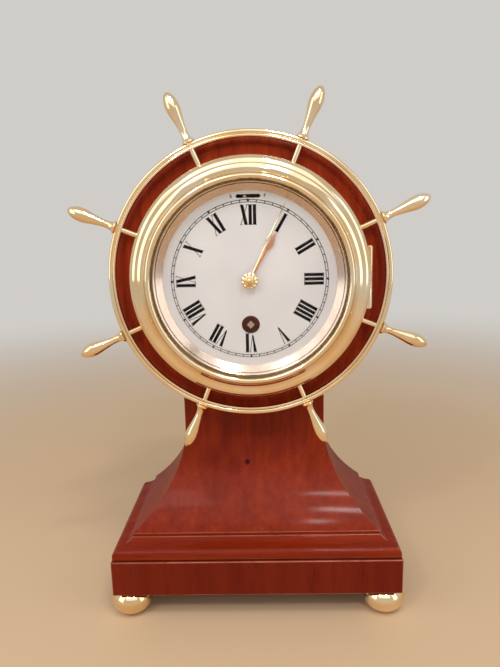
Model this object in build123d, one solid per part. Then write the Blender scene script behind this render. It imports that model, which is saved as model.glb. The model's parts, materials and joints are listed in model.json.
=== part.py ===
# Ship wheel clock: a brass marine clock in a wheel of eight turned handles, carried on a mahogany stand.
# Lengths are millimetres and angles degrees. The stand's feet rest on Z = 0, the dial looks along -Y,
# and the origin is under the middle of the overall box.
# Clock pieces are drawn about the wheel's centre, with depths counted from the rim's middle plane,
# and stand pieces are drawn up from the table, with the same depths.
from build123d import *
import math
import os

# Fits and small allowances
overrun = 1.0               # how far a cutting body runs past the face that it cuts
shaft_gap = 0.05            # radial clearance of a shaft, screw or stud in its hole
seat_gap = 0.1              # clearance of a face that lifts off its seat
loose_gap = 0.3             # clearance of a part that drops into a recess
screw_land = 0.4            # the straight edge of a countersunk head

# Places of the whole clock
axis_height = 215.2         # the wheel's centre above the table
stand_front = -21.0         # the plinth's front face
plaque_front = 4.5          # the turned plaque's front face, on which the clock's flange sits
dial_face = -13.0           # the dial's painted face

# Feet: four turned brass buns, each with its own stud
foot_height = 18.5
foot_radius = 13.3
foot_belly_height = 9.6     # where the bun is widest
foot_inset = 9.3            # from the plinth's side to the foot's axis
foot_setback = 13.1        # from the plinth's front or back to the foot's axis
foot_top_radius = 6.6
foot_sole_radius = 4.3
foot_stud_radius = 2.5
foot_stud_length = 14.0

# Plinth
plinth_width = 182.0
plinth_depth = 96.0
plinth_height = 23.0
plinth_arris = 0.6

# Base moulding: quirk, nose, sloping cyma and fillet
quirk_height = 1.3
quirk_inset = 2.2
nose_inset = 0.9
nose_flat = 2.2
nose_round = 3.9
slope_rise = 3.2
slope_hollow = 0.6
fillet_height = 2.4
fillet_inset = 12.0
base_screw_radius = 2.2
base_screw_head_radius = 4.4
base_screw_head_height = 2.6
base_screw_length = 50.0
base_screw_sink = 3.0
base_screw_spread = 100.0
base_screw_front = 14.0
base_screw_pitch = 42.0

# Pillar: a flared block with a flat back
flare_inset = 12.4
flare_height = 60.4
pillar_width = 93.0
pillar_top_rise = 68.0
pillar_top_round = 15.0

# Plaque: the turned mahogany disc behind the wheel
plaque_radius = 84.0
plaque_flat_radius = 77.0
plaque_quirk_width = 0.9
plaque_quirk_depth = 1.4
plaque_screw_radius = 2.0
plaque_screw_head_radius = 4.0
plaque_screw_head_height = 2.4
plaque_screw_length = 34.0
plaque_screw_circle = 67.0
plaque_screw_angles = (60.0, 120.0, 240.0, 300.0)

# Case: a turned brass drum with a fixing flange and a seat for the bezel
case_radius = 61.0
case_wall = 2.6
case_back_wall = 1.6
case_back_gap = 1.4
flange_radius = 71.0
flange_thickness = 2.5
seat_depth = 10.0           # the bezel's seat in front of the rim's middle plane
seat_radius = 68.3
seat_thickness = 2.8
seat_cove = 2.0
spigot_radius = 60.2
spigot_height = 5.2
shoulder_radius = 51.0
shoulder_thickness = 3.0
case_screw_radius = 1.5
case_screw_head_radius = 2.9
case_screw_head_height = 1.6
case_screw_length = 13.0
case_screw_circle = 66.0
case_screw_count = 4
case_screw_angle = 45.0

# Wheel: a beaded rim held by eight spindles, each a spoke and handle turned in one
spindle_count = 8
spindle_angle = 23.2
spoke_radius = 1.6
spoke_bite = 1.8            # how deep the spoke's end stands in the case wall
rim_inner = 80.5
rim_outer = 84.5
rim_half_depth = 2.2
rim_bead = 0.9
collar_radius = 2.9
collar_length = 2.0
neck_radius = 1.8
belly_radius = 4.2
handle_reach = 114.4
neck_share = 0.16           # along the handle from collar to tip
waist_share = 0.36
belly_share = 0.76
crown_share = 0.95
waist_bulge_share = 0.58    # of the belly's radius
crown_bulge_share = 0.66

# Bezel, glass and the ring that holds the glass
bezel_lip_radius = 54.4
bezel_front_lip_radius = 55.6
bezel_bead_width = 3.0
bezel_bead_rise = 1.1
bezel_front = -23.2         # where the bead springs from
bezel_cove_radius = 64.0
bezel_cove_depth = -17.2
bezel_cove_hollow = 1.2
bezel_rim_radius = 69.4
bezel_rim_back = -12.2
bezel_rim_bulge = 1.5
glass_radius = 57.3
glass_thickness = 2.0
glass_front = -21.5
glass_ring_inner = 55.0
glass_ring_thickness = 1.6
glass_ring_mouth = 6.0

# Hinge at three o'clock
hinge_length = 35.0
hinge_offset = 68.7         # the pin's distance from the clock's axis
knuckle_radius = 1.7
knuckle_count = 3
knuckle_gap = 0.2
hinge_pin_radius = 0.8
hinge_pin_head_radius = 1.25
hinge_pin_head_height = 0.6
leaf_thickness = 0.8
leaf_inset = 2.05           # the leaf's near face from the pin's centre
leaf_width = 3.4
leaf_gap = 0.25

# Dial and the polished reflector ring round it
dial_thickness = 1.0
dial_radius = 57.9
dial_centre_hole = 3.1
winding_drop = 25.9
winding_hole = 5.3
regulator_margin = 3.075    # from the slot to the shoulder that carries the dial
regulator_slot_length = 13.7
regulator_slot_width = 2.05
reflector_overlap = 1.0     # how far the ring stands in over the shoulder
reflector_lip = 0.6
reflector_outer = 55.0
reflector_rim = 56.6
reflector_foot = 58.1
reflector_step = 2.0
reflector_front = -17.4
dial_screw_radius = 0.7
dial_screw_sink = 0.15      # how far the grub screws stand below the spigot
dial_screw_length = 2.7
dial_screw_count = 3

# Movement plates and pillars
plate_radius = 46.5
plate_thickness = 2.0
front_plate_face = -7.4
back_plate_face = 16.6
post_radius = 2.2
post_circle = 41.5
post_angles = (5.0, 90.0, 160.0, 215.0, 325.0)
post_screw_radius = 1.0
post_screw_head_radius = 2.0
post_screw_head_height = 0.8
post_screw_length = 5.0
dial_foot_radius = 1.2
dial_foot_circle = 44.0
dial_foot_angles = (35.0, 145.0, 270.0)

# Toothed wheels: pitch radius is half the module times the teeth
tooth_addendum_share = 1.0
tooth_dedendum_share = 1.25
wheel_root_share = 0.27     # half a tooth's angle at its root, as a share of the pitch
wheel_tip_share = 0.10
leaf_root_share = 0.17
leaf_tip_share = 0.07
arbor_radius = 1.0
pivot_radius = 0.6
pinion_length = 2.4
wheel_thickness = 1.0
hub_radius = 2.6
wheel_web_share = 0.74      # where the crossings end, as a share of the pitch radius
crossing_arms = 4
crossing_arm_width = 2.2

# Motion work and hands
motion_module = 0.5
cannon_teeth = 10
minute_wheel_teeth = 30
minute_pinion_teeth = 8
hour_wheel_teeth = 32
minute_wheel_bearing = 200.0    # where the minute wheel stands from the centre, from +X towards +Z
minute_stud_radius = 0.8
cannon_face = -9.6
cannon_length = 1.2
cannon_pipe_radius = 1.6
minute_wheel_face = -9.4
minute_wheel_thickness = 0.8
minute_pinion_length = 2.0
hour_wheel_face = -11.0
hour_wheel_thickness = 0.8
hour_pipe_wall = 0.85
hour_hand_face = -14.9
hand_thickness = 0.6
minute_hand_face = -16.3
hour_hub_radius = 4.0
hour_stem_half = 0.7
hour_lozenge_half = 2.0
hour_reach = 31.0
minute_hub_radius = 3.4
minute_stem_half = 0.5
minute_lozenge_half = 1.2
minute_tip_half = 0.15
minute_reach = 48.6
hand_widest_shares = (0.79, 0.50)   # where the hour and minute hands are widest, along their reach
minutes_shown = 64.5                # the time shown, in minutes after twelve
collet_radius = 4.8
collet_height = 2.0
collet_bow = 0.9
collet_foot = 0.6
collet_crown = 0.5          # metal left in front of the arbor's end
hand_shoulder_slope = 2.5   # how gently a hand widens, as length over width

# Going train, from the barrel to the third wheel
barrel_module = 0.65
barrel_teeth = 60
barrel_radius = 17.5
barrel_front = -4.9
barrel_back = 10.2
barrel_wall = 1.2
barrel_wheel_thickness = 1.6
barrel_cap_thickness = 1.2
winding_arbor_radius = 2.2
winding_square = 3.3
winding_square_face = -12.8
winding_square_back = -8.0
second_pinion_teeth = 10
second_module = 0.5
second_wheel_teeth = 55
second_wheel_face = 11.6
centre_pinion_teeth = 10
third_module = 0.45
centre_wheel_teeth = 60
centre_wheel_face = 14.2
third_pinion_teeth = 8
third_bearing = 130.0
fourth_module = 0.4
third_wheel_teeth = 64
third_wheel_face = 0.0

# Click work on the front plate
ratchet_teeth = 24
ratchet_radius = 9.0
ratchet_root_radius = 7.9
ratchet_face = -9.3
ratchet_thickness = 1.2
click_gap = 0.3
click_pivot_offset = 11.5
click_pivot_rise = 9.5
click_hub_radius = 2.0
click_nose = 2.2
click_screw_radius = 0.9
click_head_height = 0.5

# Regulator index
index_pivot_rise = 22.0
index_stud_radius = 0.9
index_hub_radius = 2.4
index_face = -10.2
index_thickness = 0.8
index_arm_width = 1.8
index_pin_radius = 0.6
index_pin_front = -13.8
index_lean = 1.9            # how far the pin stands left of twelve o'clock

# Places that follow
stand_back = stand_front + plinth_depth
bezel_crown = bezel_front - bezel_bead_rise
mid_depth = (bezel_crown + stand_back) / 2
plinth_top = foot_height + plinth_height
nose_bottom = plinth_top + quirk_height
nose_shoulder = nose_bottom + nose_flat
nose_top = nose_shoulder + nose_round
slope_top = nose_top + slope_rise
moulding_top = slope_top + fillet_height
flare_top = moulding_top + flare_height
flare_foot_half = plinth_width / 2 - flare_inset
flare_run = flare_foot_half - pillar_width / 2
pillar_front = stand_front + flare_inset + flare_run
case_bore = case_radius - case_wall
knuckle_length = (hinge_length - (knuckle_count - 1) * knuckle_gap) / knuckle_count
case_back = pillar_front - case_back_gap
seat_face = -seat_depth
shoulder_front = dial_face + dial_thickness
regulator_radius = shoulder_radius - regulator_margin - regulator_slot_width / 2
reflector_inner = shoulder_radius - reflector_overlap
front_plate_back = front_plate_face + plate_thickness
click_pivot = (click_pivot_offset, click_pivot_rise - winding_drop)
hour_pipe_bore = cannon_pipe_radius + shaft_gap
hour_pipe_radius = hour_pipe_bore + hour_pipe_wall


def outline(*pieces):
    """a flat face inside a closed run of lines and arcs"""
    return make_face([edge for piece in pieces for edge in piece.edges()])


def bowed(start, end, bow):
    """an arc whose middle stands off the chord, to the right of the way from start to end"""
    run = end[0] - start[0]
    rise = end[1] - start[1]
    span = math.hypot(run, rise)
    middle = ((start[0] + end[0]) / 2 + bow * rise / span, (start[1] + end[1]) / 2 - bow * run / span)
    return ThreePointArc(start, middle, end)


def turned(face):
    """a body turned about the clock's axis, from an outline of radius and depth"""
    return revolve(face, axis=Axis.Y)


def upright(shape):
    """a body turned about a depth axis, stood up so that its depth runs upwards"""
    return Rot(90, 0, 0) * shape


def slab(sketch, front, thickness):
    """an outline of width and height, cut backwards from a depth"""
    return extrude(Plane.XZ.offset(-front) * sketch, amount=-thickness)


def rod(radius, front, back, x=0, z=0):
    """a round bar along the depth"""
    return slab(Pos(x, z) * Circle(radius), front, back - front)


def polar(radius, angle):
    """the width and height of a point on a circle about the clock's axis"""
    return radius * math.cos(math.radians(angle)), radius * math.sin(math.radians(angle))


def sunk_screw(radius, length, head_radius, head_height, gap=0):
    """a countersunk screw whose head is flush at depth zero; with a gap, the hole that takes it"""
    return turned(outline(Polyline(
        (0, -gap), (head_radius + gap, -gap), (head_radius + gap, screw_land), (radius + gap, head_height),
        (radius + gap, length + gap), (0, length + gap), close=True)))


def cheese_screw(radius, length, head_radius, head_height):
    """a cheese-headed screw whose head stands in front of depth zero"""
    return turned(outline(Polyline(
        (0, -head_height), (head_radius, -head_height), (head_radius, 0), (radius, 0),
        (radius, length), (0, length), close=True)))


def foot():
    """a turned bun with a stud, standing on its sole: two parts of ellipses that meet at the belly"""
    belly = (0, foot_belly_height)
    above_belly = foot_height - foot_belly_height
    lower = foot_belly_height / math.sqrt(1 - (foot_sole_radius / foot_radius) ** 2)
    upper = above_belly / math.sqrt(1 - (foot_top_radius / foot_radius) ** 2)
    below = math.degrees(math.asin(foot_belly_height / lower))
    above = math.degrees(math.asin(above_belly / upper))
    stud_top = foot_height + foot_stud_length
    return upright(turned(outline(
        Line((0, 0), (foot_sole_radius, 0)),
        EllipticalCenterArc(belly, foot_radius, lower, start_angle=-below, arc_size=below),
        EllipticalCenterArc(belly, foot_radius, upper, start_angle=0, arc_size=above),
        Polyline((foot_top_radius, foot_height), (foot_stud_radius, foot_height),
                 (foot_stud_radius, stud_top), (0, stud_top), (0, 0)))))


def foot_places():
    """the four feet's names with their widths and depths"""
    reach = plinth_width / 2 - foot_inset
    front = stand_front + foot_setback
    back = stand_back - foot_setback
    return {"foot_front_left": (-reach, front), "foot_front_right": (reach, front),
            "foot_back_left": (-reach, back), "foot_back_right": (reach, back)}


def base_screw_places():
    """widths and depths of the screws that draw plinth, moulding and pillar together"""
    return [(side * base_screw_spread / 2, base_screw_front + row * base_screw_pitch)
            for side in (-1, 1) for row in (0, 1)]


def base_screws(gap=0):
    """the four long screws from under the plinth; with a gap, the holes that take them"""
    one = upright(sunk_screw(base_screw_radius, base_screw_length, base_screw_head_radius,
                             base_screw_head_height, gap))
    if gap:
        one += Pos(0, 0, -base_screw_sink / 2) * Cylinder(base_screw_head_radius + gap, base_screw_sink)
    return [Pos(x, y, foot_height + base_screw_sink) * one for x, y in base_screw_places()]


def plinth():
    """the bottom board, drilled for the feet's studs and the long screws"""
    body = Pos(0, stand_front + plinth_depth / 2, foot_height + plinth_height / 2) * Box(
        plinth_width, plinth_depth, plinth_height)
    body = fillet(body.edges().filter_by(Axis.Z), plinth_arris)
    stud = Cylinder(foot_stud_radius + shaft_gap, foot_stud_length + shaft_gap)
    for x, y in foot_places().values():
        body -= Pos(x, y, foot_height + (foot_stud_length + shaft_gap) / 2) * stud
    for hole in base_screws(shaft_gap):
        body -= hole
    return body


def moulding_side(edge, inward):
    """the base moulding's outline from quirk to fillet, where inward is the way into the wood"""
    def at(inset, height):
        return (edge + inward * inset, height)
    nose_end = at(nose_inset + nose_round, nose_top)
    slope_end = at(fillet_inset, slope_top)
    return [
        Polyline(at(quirk_inset, plinth_top), at(quirk_inset, nose_bottom), at(nose_inset, nose_bottom),
                 at(nose_inset, nose_shoulder)),
        TangentArc(at(nose_inset, nose_shoulder), nose_end, tangent=(0, 1)),
        bowed(nose_end, slope_end, inward * slope_hollow * -1),
        Line(slope_end, at(fillet_inset, moulding_top))]


def base_moulding():
    """the moulded board: one run along the front and one at each side, mitred, with a flat back"""
    half = plinth_width / 2
    across = outline(
        *moulding_side(half, -1), *moulding_side(-half, 1),
        Line((half - fillet_inset, moulding_top), (fillet_inset - half, moulding_top)),
        Line((half - quirk_inset, plinth_top), (quirk_inset - half, plinth_top)))
    along = outline(
        *moulding_side(stand_front, 1),
        Polyline((stand_front + fillet_inset, moulding_top), (stand_back, moulding_top),
                 (stand_back, plinth_top), (stand_front + quirk_inset, plinth_top)))
    return mitred(across, along, base_screws(shaft_gap))


def mitred(across, along, holes):
    """a block that has one outline seen from the front and another seen from the side"""
    body = slab(across, stand_front, plinth_depth)
    body &= extrude(Plane.YZ.offset(-plinth_width / 2) * along, amount=plinth_width)
    for hole in holes:
        body -= hole
    return body


def pillar():
    """the pillar and its flare, from one block with a flat back"""
    half = pillar_width / 2
    top = axis_height + pillar_top_rise
    across = outline(
        Polyline((-half, flare_top), (-half, top), (half, top), (half, flare_top)),
        TangentArc((half, flare_top), (flare_foot_half, moulding_top), tangent=(0, -1)),
        Line((flare_foot_half, moulding_top), (-flare_foot_half, moulding_top)),
        TangentArc((-half, flare_top), (-flare_foot_half, moulding_top), tangent=(0, -1)))
    across = fillet(across.vertices().group_by(Axis.Y)[-1], pillar_top_round)
    foot_front = stand_front + flare_inset
    along = outline(
        TangentArc((pillar_front, flare_top), (foot_front, moulding_top), tangent=(0, -1)),
        Polyline((foot_front, moulding_top), (stand_back, moulding_top), (stand_back, top),
                 (pillar_front, top), (pillar_front, flare_top)))
    holes = base_screws(shaft_gap) + [Pos(0, 0, axis_height) * hole for hole in plaque_screws(shaft_gap)]
    return mitred(across, along, holes)


def plaque_screws(gap=0):
    """the screws that fix the plaque to the pillar; with a gap, their holes"""
    one = sunk_screw(plaque_screw_radius, plaque_screw_length, plaque_screw_head_radius,
                     plaque_screw_head_height, gap)
    places = [polar(plaque_screw_circle, angle) for angle in plaque_screw_angles]
    return [Pos(x, plaque_front, z) * one for x, z in places]


def case_screw_places():
    """the width and height of each screw in the case's flange"""
    return [polar(case_screw_circle, case_screw_angle + turn * 360 / case_screw_count)
            for turn in range(case_screw_count)]


def plaque():
    """the turned disc, with a quirk and a quarter round at its edge, bored for the drum"""
    quirk_floor = plaque_front + plaque_quirk_depth
    round_start = plaque_flat_radius + plaque_quirk_width
    round_size = plaque_radius - round_start
    bore = case_radius + loose_gap
    body = turned(outline(
        Polyline((bore, pillar_front), (bore, plaque_front), (plaque_flat_radius, plaque_front),
                 (plaque_flat_radius, quirk_floor), (round_start, quirk_floor)),
        TangentArc((round_start, quirk_floor), (plaque_radius, quirk_floor + round_size), tangent=(1, 0)),
        Polyline((plaque_radius, quirk_floor + round_size), (plaque_radius, pillar_front),
                 (bore, pillar_front))))
    for hole in plaque_screws(shaft_gap):
        body -= hole
    for x, z in case_screw_places():
        body -= rod(case_screw_radius + shaft_gap, plaque_front,
                    plaque_front + case_screw_length - flange_thickness + shaft_gap, x, z)
    return body


def hinge_notch(near, far, lip):
    """the recess that the hinge stands in, between two depths, with room past its pin's heads"""
    length = hinge_length + 2 * (hinge_pin_head_height + lip)
    width = bezel_rim_radius + overrun - (hinge_offset - leaf_inset)
    return Pos(hinge_offset - leaf_inset - shaft_gap + width / 2, (near + far) / 2, 0) * Box(
        width, far - near, length)


def case():
    """the drum, with its bezel seat and spigot, dial shoulder, fixing flange and closed back"""
    spigot_front = seat_face - spigot_height
    seat_back = seat_face + seat_thickness
    flange_front = plaque_front - flange_thickness
    cove_end = (case_radius, seat_back + seat_cove)
    cove_start = (case_radius + seat_cove, seat_back)
    inner_back = case_back - case_back_wall
    body = turned(outline(
        Polyline((case_bore, shoulder_front), (case_bore, spigot_front), (spigot_radius, spigot_front),
                 (spigot_radius, seat_face), (seat_radius, seat_face), (seat_radius, seat_back), cove_start),
        TangentArc(cove_start, cove_end, tangent=(-1, 0)),
        Polyline(cove_end, (case_radius, flange_front), (flange_radius, flange_front),
                 (flange_radius, plaque_front), (case_radius, plaque_front), (case_radius, case_back),
                 (0, case_back), (0, inner_back), (case_bore, inner_back),
                 (case_bore, shoulder_front + shoulder_thickness),
                 (shoulder_radius, shoulder_front + shoulder_thickness), (shoulder_radius, shoulder_front),
                 (case_bore, shoulder_front))))
    socket = Cylinder(spoke_radius + shaft_gap, case_radius)
    for turn in range(spindle_count):
        angle = spindle_angle + turn * 360 / spindle_count
        start = case_radius - spoke_bite - shaft_gap
        body -= Rot(0, -angle, 0) * Pos(start + case_radius / 2, 0, 0) * Rot(0, 90, 0) * socket
    for x, z in case_screw_places():
        body -= rod(case_screw_radius + shaft_gap, flange_front - overrun, plaque_front + overrun, x, z)
    for screw in dial_screws(shaft_gap):
        body -= screw
    return body - hinge_notch(seat_face - overrun, seat_back + overrun, loose_gap)


def case_screws():
    """the cheese-headed screws through the flange into the plaque"""
    one = cheese_screw(case_screw_radius, case_screw_length, case_screw_head_radius, case_screw_head_height)
    return [Pos(x, plaque_front - flange_thickness, z) * one for x, z in case_screw_places()]


def wheel_rim():
    """the rim, with two beads and a groove on its face, drilled for the spindles"""
    middle = (rim_inner + rim_outer) / 2
    spring = rim_bead - rim_half_depth
    body = turned(outline(
        bowed((rim_inner, spring), (middle, spring), rim_bead),
        bowed((middle, spring), (rim_outer, spring), rim_bead),
        Polyline((rim_outer, spring), (rim_outer, rim_half_depth), (rim_inner, rim_half_depth),
                 (rim_inner, spring))))
    hole = Cylinder(spoke_radius + shaft_gap, rim_outer - rim_inner + 2 * overrun)
    for turn in range(spindle_count):
        angle = spindle_angle + turn * 360 / spindle_count
        body -= Rot(0, -angle, 0) * Pos(middle, 0, 0) * Rot(0, 90, 0) * hole
    return body


def spindle():
    """one spoke and handle turned in one, lying along +X"""
    start = case_radius - spoke_bite
    collar_end = rim_outer + collar_length
    reach = handle_reach - collar_end

    def along(share, radius):
        return (collar_end + share * reach, radius)
    handle = Spline(
        (collar_end, neck_radius), along(neck_share, neck_radius),
        along(waist_share, belly_radius * waist_bulge_share), along(belly_share, belly_radius),
        along(crown_share, belly_radius * crown_bulge_share), (handle_reach, 0))
    return revolve(outline(
        Polyline((handle_reach, 0), (start, 0), (start, spoke_radius), (rim_outer, spoke_radius),
                 (rim_outer, collar_radius), (collar_end, collar_radius), (collar_end, neck_radius)),
        handle), axis=Axis.X)


def bezel():
    """the cast ring: front bead, broad cove and rounded rim, rebated behind for the glass"""
    bead_end = (bezel_front_lip_radius + bezel_bead_width, bezel_front)
    cove_end = (bezel_cove_radius, bezel_cove_depth)
    rim_end = (bezel_rim_radius, bezel_rim_back)
    back = seat_face - seat_gap
    skirt = spigot_radius + loose_gap + shaft_gap
    skirt_front = seat_face - spigot_height - loose_gap
    rebate = glass_radius + shaft_gap
    body = turned(outline(
        Line((bezel_lip_radius, glass_front), (bezel_front_lip_radius, bezel_front)),
        bowed((bezel_front_lip_radius, bezel_front), bead_end, bezel_bead_rise),
        bowed(bead_end, cove_end, -bezel_cove_hollow),
        bowed(cove_end, rim_end, bezel_rim_bulge),
        Polyline(rim_end, (bezel_rim_radius, back), (skirt, back), (skirt, skirt_front),
                 (rebate, skirt_front), (rebate, glass_front), (bezel_lip_radius, glass_front))))
    notch_front = seat_face - leaf_gap - leaf_width - shaft_gap
    return body - hinge_notch(notch_front, back + overrun, loose_gap)


def glass():
    """the flat dial glass"""
    return rod(glass_radius, glass_front, glass_front + glass_thickness)


def glass_ring():
    """the sprung ring behind the glass, open at the bottom"""
    front = glass_front + glass_thickness
    body = rod(glass_radius, front, front + glass_ring_thickness)
    body -= rod(glass_ring_inner, front - overrun, front + glass_ring_thickness + overrun)
    mouth_height = glass_radius + overrun
    return body - Pos(0, front, -mouth_height / 2) * Box(
        glass_ring_mouth, 2 * (glass_ring_thickness + overrun), mouth_height)


def knuckle_middle(number):
    """the height of a knuckle's middle about the clock's axis, counted from the bottom"""
    return (knuckle_length - hinge_length) / 2 + number * (knuckle_length + knuckle_gap)


def knuckles(numbers):
    """the hinge knuckles with these numbers, counted from the bottom, bored for the pin"""
    one = Cylinder(knuckle_radius, knuckle_length)
    one -= Cylinder(hinge_pin_radius + shaft_gap, knuckle_length + overrun)
    return [Pos(hinge_offset, seat_face, knuckle_middle(number)) * one for number in numbers]


def hinge_leaf(way, numbers):
    """a leaf and its knuckles; way is -1 for the bezel's leaf and 1 for the case's"""
    near = seat_face + way * leaf_gap
    plate = Pos(hinge_offset - leaf_inset + leaf_thickness / 2, near + way * leaf_width / 2, 0) * Box(
        leaf_thickness, leaf_width, hinge_length)
    room = Cylinder(knuckle_radius + leaf_gap, knuckle_length + 2 * knuckle_gap)
    for number in range(knuckle_count):
        if number not in numbers:
            plate -= Pos(hinge_offset, seat_face, knuckle_middle(number)) * room
    for piece in knuckles(numbers):
        plate += piece
    return plate - Pos(hinge_offset, seat_face, 0) * Cylinder(
        hinge_pin_radius + shaft_gap, hinge_length + overrun)


def hinge_pin():
    """the pin, with a small head at each end"""
    body = Cylinder(hinge_pin_radius, hinge_length)
    head = Cylinder(hinge_pin_head_radius, hinge_pin_head_height)
    for side in (-1, 1):
        body += Pos(0, 0, side * (hinge_length + hinge_pin_head_height) / 2) * head
    return Pos(hinge_offset, seat_face, 0) * body


def dial():
    """the silvered plate, pierced for the hands, the key and the regulator, with three feet behind"""
    body = rod(dial_radius, dial_face, shoulder_front)
    through = (dial_face - overrun, shoulder_front + overrun)
    body -= rod(dial_centre_hole, *through)
    body -= rod(winding_hole, *through, 0, -winding_drop)
    straight = regulator_slot_length - regulator_slot_width
    slot = Pos(0, regulator_radius) * SlotOverall(straight + regulator_slot_width, regulator_slot_width)
    body -= slab(slot, through[0], through[1] - through[0])
    for angle in dial_foot_angles:
        body += rod(dial_foot_radius, shoulder_front, front_plate_back, *polar(dial_foot_circle, angle))
    return body


def reflector():
    """the polished ring that slopes from the glass down to the dial and clamps its edge"""
    foot_top = dial_face - reflector_step
    body = turned(outline(Polyline(
        (reflector_inner, dial_face), (reflector_inner, dial_face - reflector_lip),
        (reflector_outer, reflector_front), (reflector_rim, reflector_front), (reflector_rim, foot_top),
        (reflector_foot, foot_top), (reflector_foot, dial_face), close=True)))
    for screw in dial_screws(shaft_gap):
        body -= screw
    return body


def dial_screws(gap=0):
    """the small grub screws through the spigot into the reflector's foot; with a gap, their holes"""
    depth = dial_face - reflector_step / 2
    radius = dial_screw_radius + gap
    length = dial_screw_length + 2 * gap
    middle = spigot_radius - dial_screw_sink - dial_screw_length / 2
    if gap:
        length += dial_screw_sink
        middle += dial_screw_sink / 2
    return [Rot(0, -(90 + turn * 360 / dial_screw_count), 0) * Pos(middle, depth, 0) * Rot(0, 90, 0)
            * Cylinder(radius, length) for turn in range(dial_screw_count)]


def hand(hub, bore, stem_half, widest_half, tip_half, reach, widest_share, face, angle):
    """a flat hand pointing to an angle clockwise from twelve, with a round hub bored for its pipe"""
    widest = widest_share * reach
    shoulder = widest - (widest_half - stem_half) * hand_shoulder_slope
    blade = make_face(Polyline(
        (-stem_half, 0), (-stem_half, shoulder), (-widest_half, widest), (-tip_half, reach),
        (tip_half, reach), (widest_half, widest), (stem_half, shoulder), (stem_half, 0), close=True))
    shape = (blade + Circle(hub)) - Circle(bore)
    return Rot(0, angle, 0) * slab(shape, face, hand_thickness)


def hour_hand():
    """the hour hand, with a broad lozenge near its tip"""
    return hand(hour_hub_radius, hour_pipe_radius + shaft_gap, hour_stem_half, hour_lozenge_half,
                minute_tip_half, hour_reach, hand_widest_shares[0], hour_hand_face, minutes_shown / 2)


def minute_hand():
    """the long slender minute hand"""
    return hand(minute_hub_radius, cannon_pipe_radius + shaft_gap, minute_stem_half, minute_lozenge_half,
                minute_tip_half, minute_reach, hand_widest_shares[1], minute_hand_face, minutes_shown * 6)


def hand_collet():
    """the domed collet that holds the minute hand, bored part way for the arbor"""
    front = minute_hand_face - collet_height
    bore = arbor_radius + shaft_gap
    bore_front = minute_hand_face - collet_height + collet_crown
    return turned(outline(
        bowed((0, front), (collet_radius, minute_hand_face - collet_foot), collet_bow),
        Polyline((collet_radius, minute_hand_face - collet_foot), (collet_radius, minute_hand_face),
                 (bore, minute_hand_face), (bore, bore_front), (0, bore_front), (0, front))))


def toothed(teeth, module, phase, root_share, tip_share, place):
    """a ring of straight-flanked teeth: phase is one tooth's angle, from +X towards +Z"""
    pitch_radius = module * teeth / 2
    root = pitch_radius - tooth_dedendum_share * module
    tip = pitch_radius + tooth_addendum_share * module
    pitch = 360 / teeth
    corners = []
    for tooth in range(teeth):
        for radius, share in ((root, -root_share), (tip, -tip_share), (tip, tip_share), (root, root_share)):
            x, z = polar(radius, phase + (tooth + share) * pitch)
            corners.append((place[0] + x, place[1] + z))
    return make_face(Polyline(*corners, close=True))


def wheel(teeth, module, phase, place, face, thickness=wheel_thickness):
    """a wheel crossed out to its arms"""
    pitch_radius = module * teeth / 2
    middle = Pos(*place)
    window = middle * (Circle(pitch_radius * wheel_web_share) - Circle(hub_radius + crossing_arm_width / 2))
    for arm in range(crossing_arms // 2):
        turn = Rot(0, 0, arm * 360 / crossing_arms)
        window -= middle * turn * Rectangle(2 * pitch_radius, crossing_arm_width)
    return slab(toothed(teeth, module, phase, wheel_root_share, wheel_tip_share, place) - window,
                face, thickness)


def pinion(teeth, module, phase, place, face, length=pinion_length):
    """a solid pinion"""
    return slab(toothed(teeth, module, phase, leaf_root_share, leaf_tip_share, place), face, length)


def mesh_phase(bearing, driver_teeth, driver_phase, teeth):
    """the angle of one tooth of a wheel that stands at a bearing from its driver, in mesh with it"""
    return bearing + 180 + 180 / teeth - driver_teeth / teeth * (driver_phase - bearing)


def bearing(start, end):
    """the angle from one place to another, from +X towards +Z"""
    return math.degrees(math.atan2(end[1] - start[1], end[0] - start[0]))


def second_place():
    """where the second arbor stands, in mesh with both the barrel and the centre pinion"""
    from_barrel = barrel_module * (barrel_teeth + second_pinion_teeth) / 2
    from_centre = second_module * (second_wheel_teeth + centre_pinion_teeth) / 2
    drop = (from_centre ** 2 - from_barrel ** 2 + winding_drop ** 2) / (2 * winding_drop)
    return math.sqrt(from_centre ** 2 - drop ** 2), -drop


def third_place():
    """where the third arbor stands, in mesh with the centre wheel"""
    return polar(third_module * (centre_wheel_teeth + third_pinion_teeth) / 2, third_bearing)


def minute_wheel_place():
    """where the minute wheel's stud stands"""
    return polar(motion_module * (cannon_teeth + minute_wheel_teeth) / 2, minute_wheel_bearing)


def arbor(front, back, place):
    """a round arbor between its pivots' shoulders, with a pivot in each plate"""
    body = rod(arbor_radius, front, back, *place)
    body += rod(pivot_radius, front_plate_face, front, *place)
    return body + rod(pivot_radius, back, back_plate_face + plate_thickness, *place)


def between_plates():
    """the depths of an arbor's two shoulders"""
    return front_plate_back + leaf_gap, back_plate_face - leaf_gap


def barrel():
    """the hollow spring barrel with its toothed flange, open in front for the cap"""
    place = (0, -winding_drop)
    wheel_front = barrel_back - barrel_wheel_thickness
    body = slab(toothed(barrel_teeth, barrel_module, 0, wheel_root_share, wheel_tip_share, place),
                wheel_front, barrel_wheel_thickness)
    body += rod(barrel_radius, barrel_front, wheel_front, *place)
    body -= rod(barrel_radius - barrel_wall, barrel_front - overrun, barrel_back - barrel_wall, *place)
    return body - rod(winding_arbor_radius + shaft_gap, barrel_front, barrel_back + overrun, *place)


def barrel_cap():
    """the disc that closes the barrel in front"""
    place = (0, -winding_drop)
    back = barrel_front + barrel_cap_thickness
    body = rod(barrel_radius - barrel_wall - shaft_gap, barrel_front, back, *place)
    return body - rod(winding_arbor_radius + shaft_gap, barrel_front - overrun, back + overrun, *place)


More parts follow.
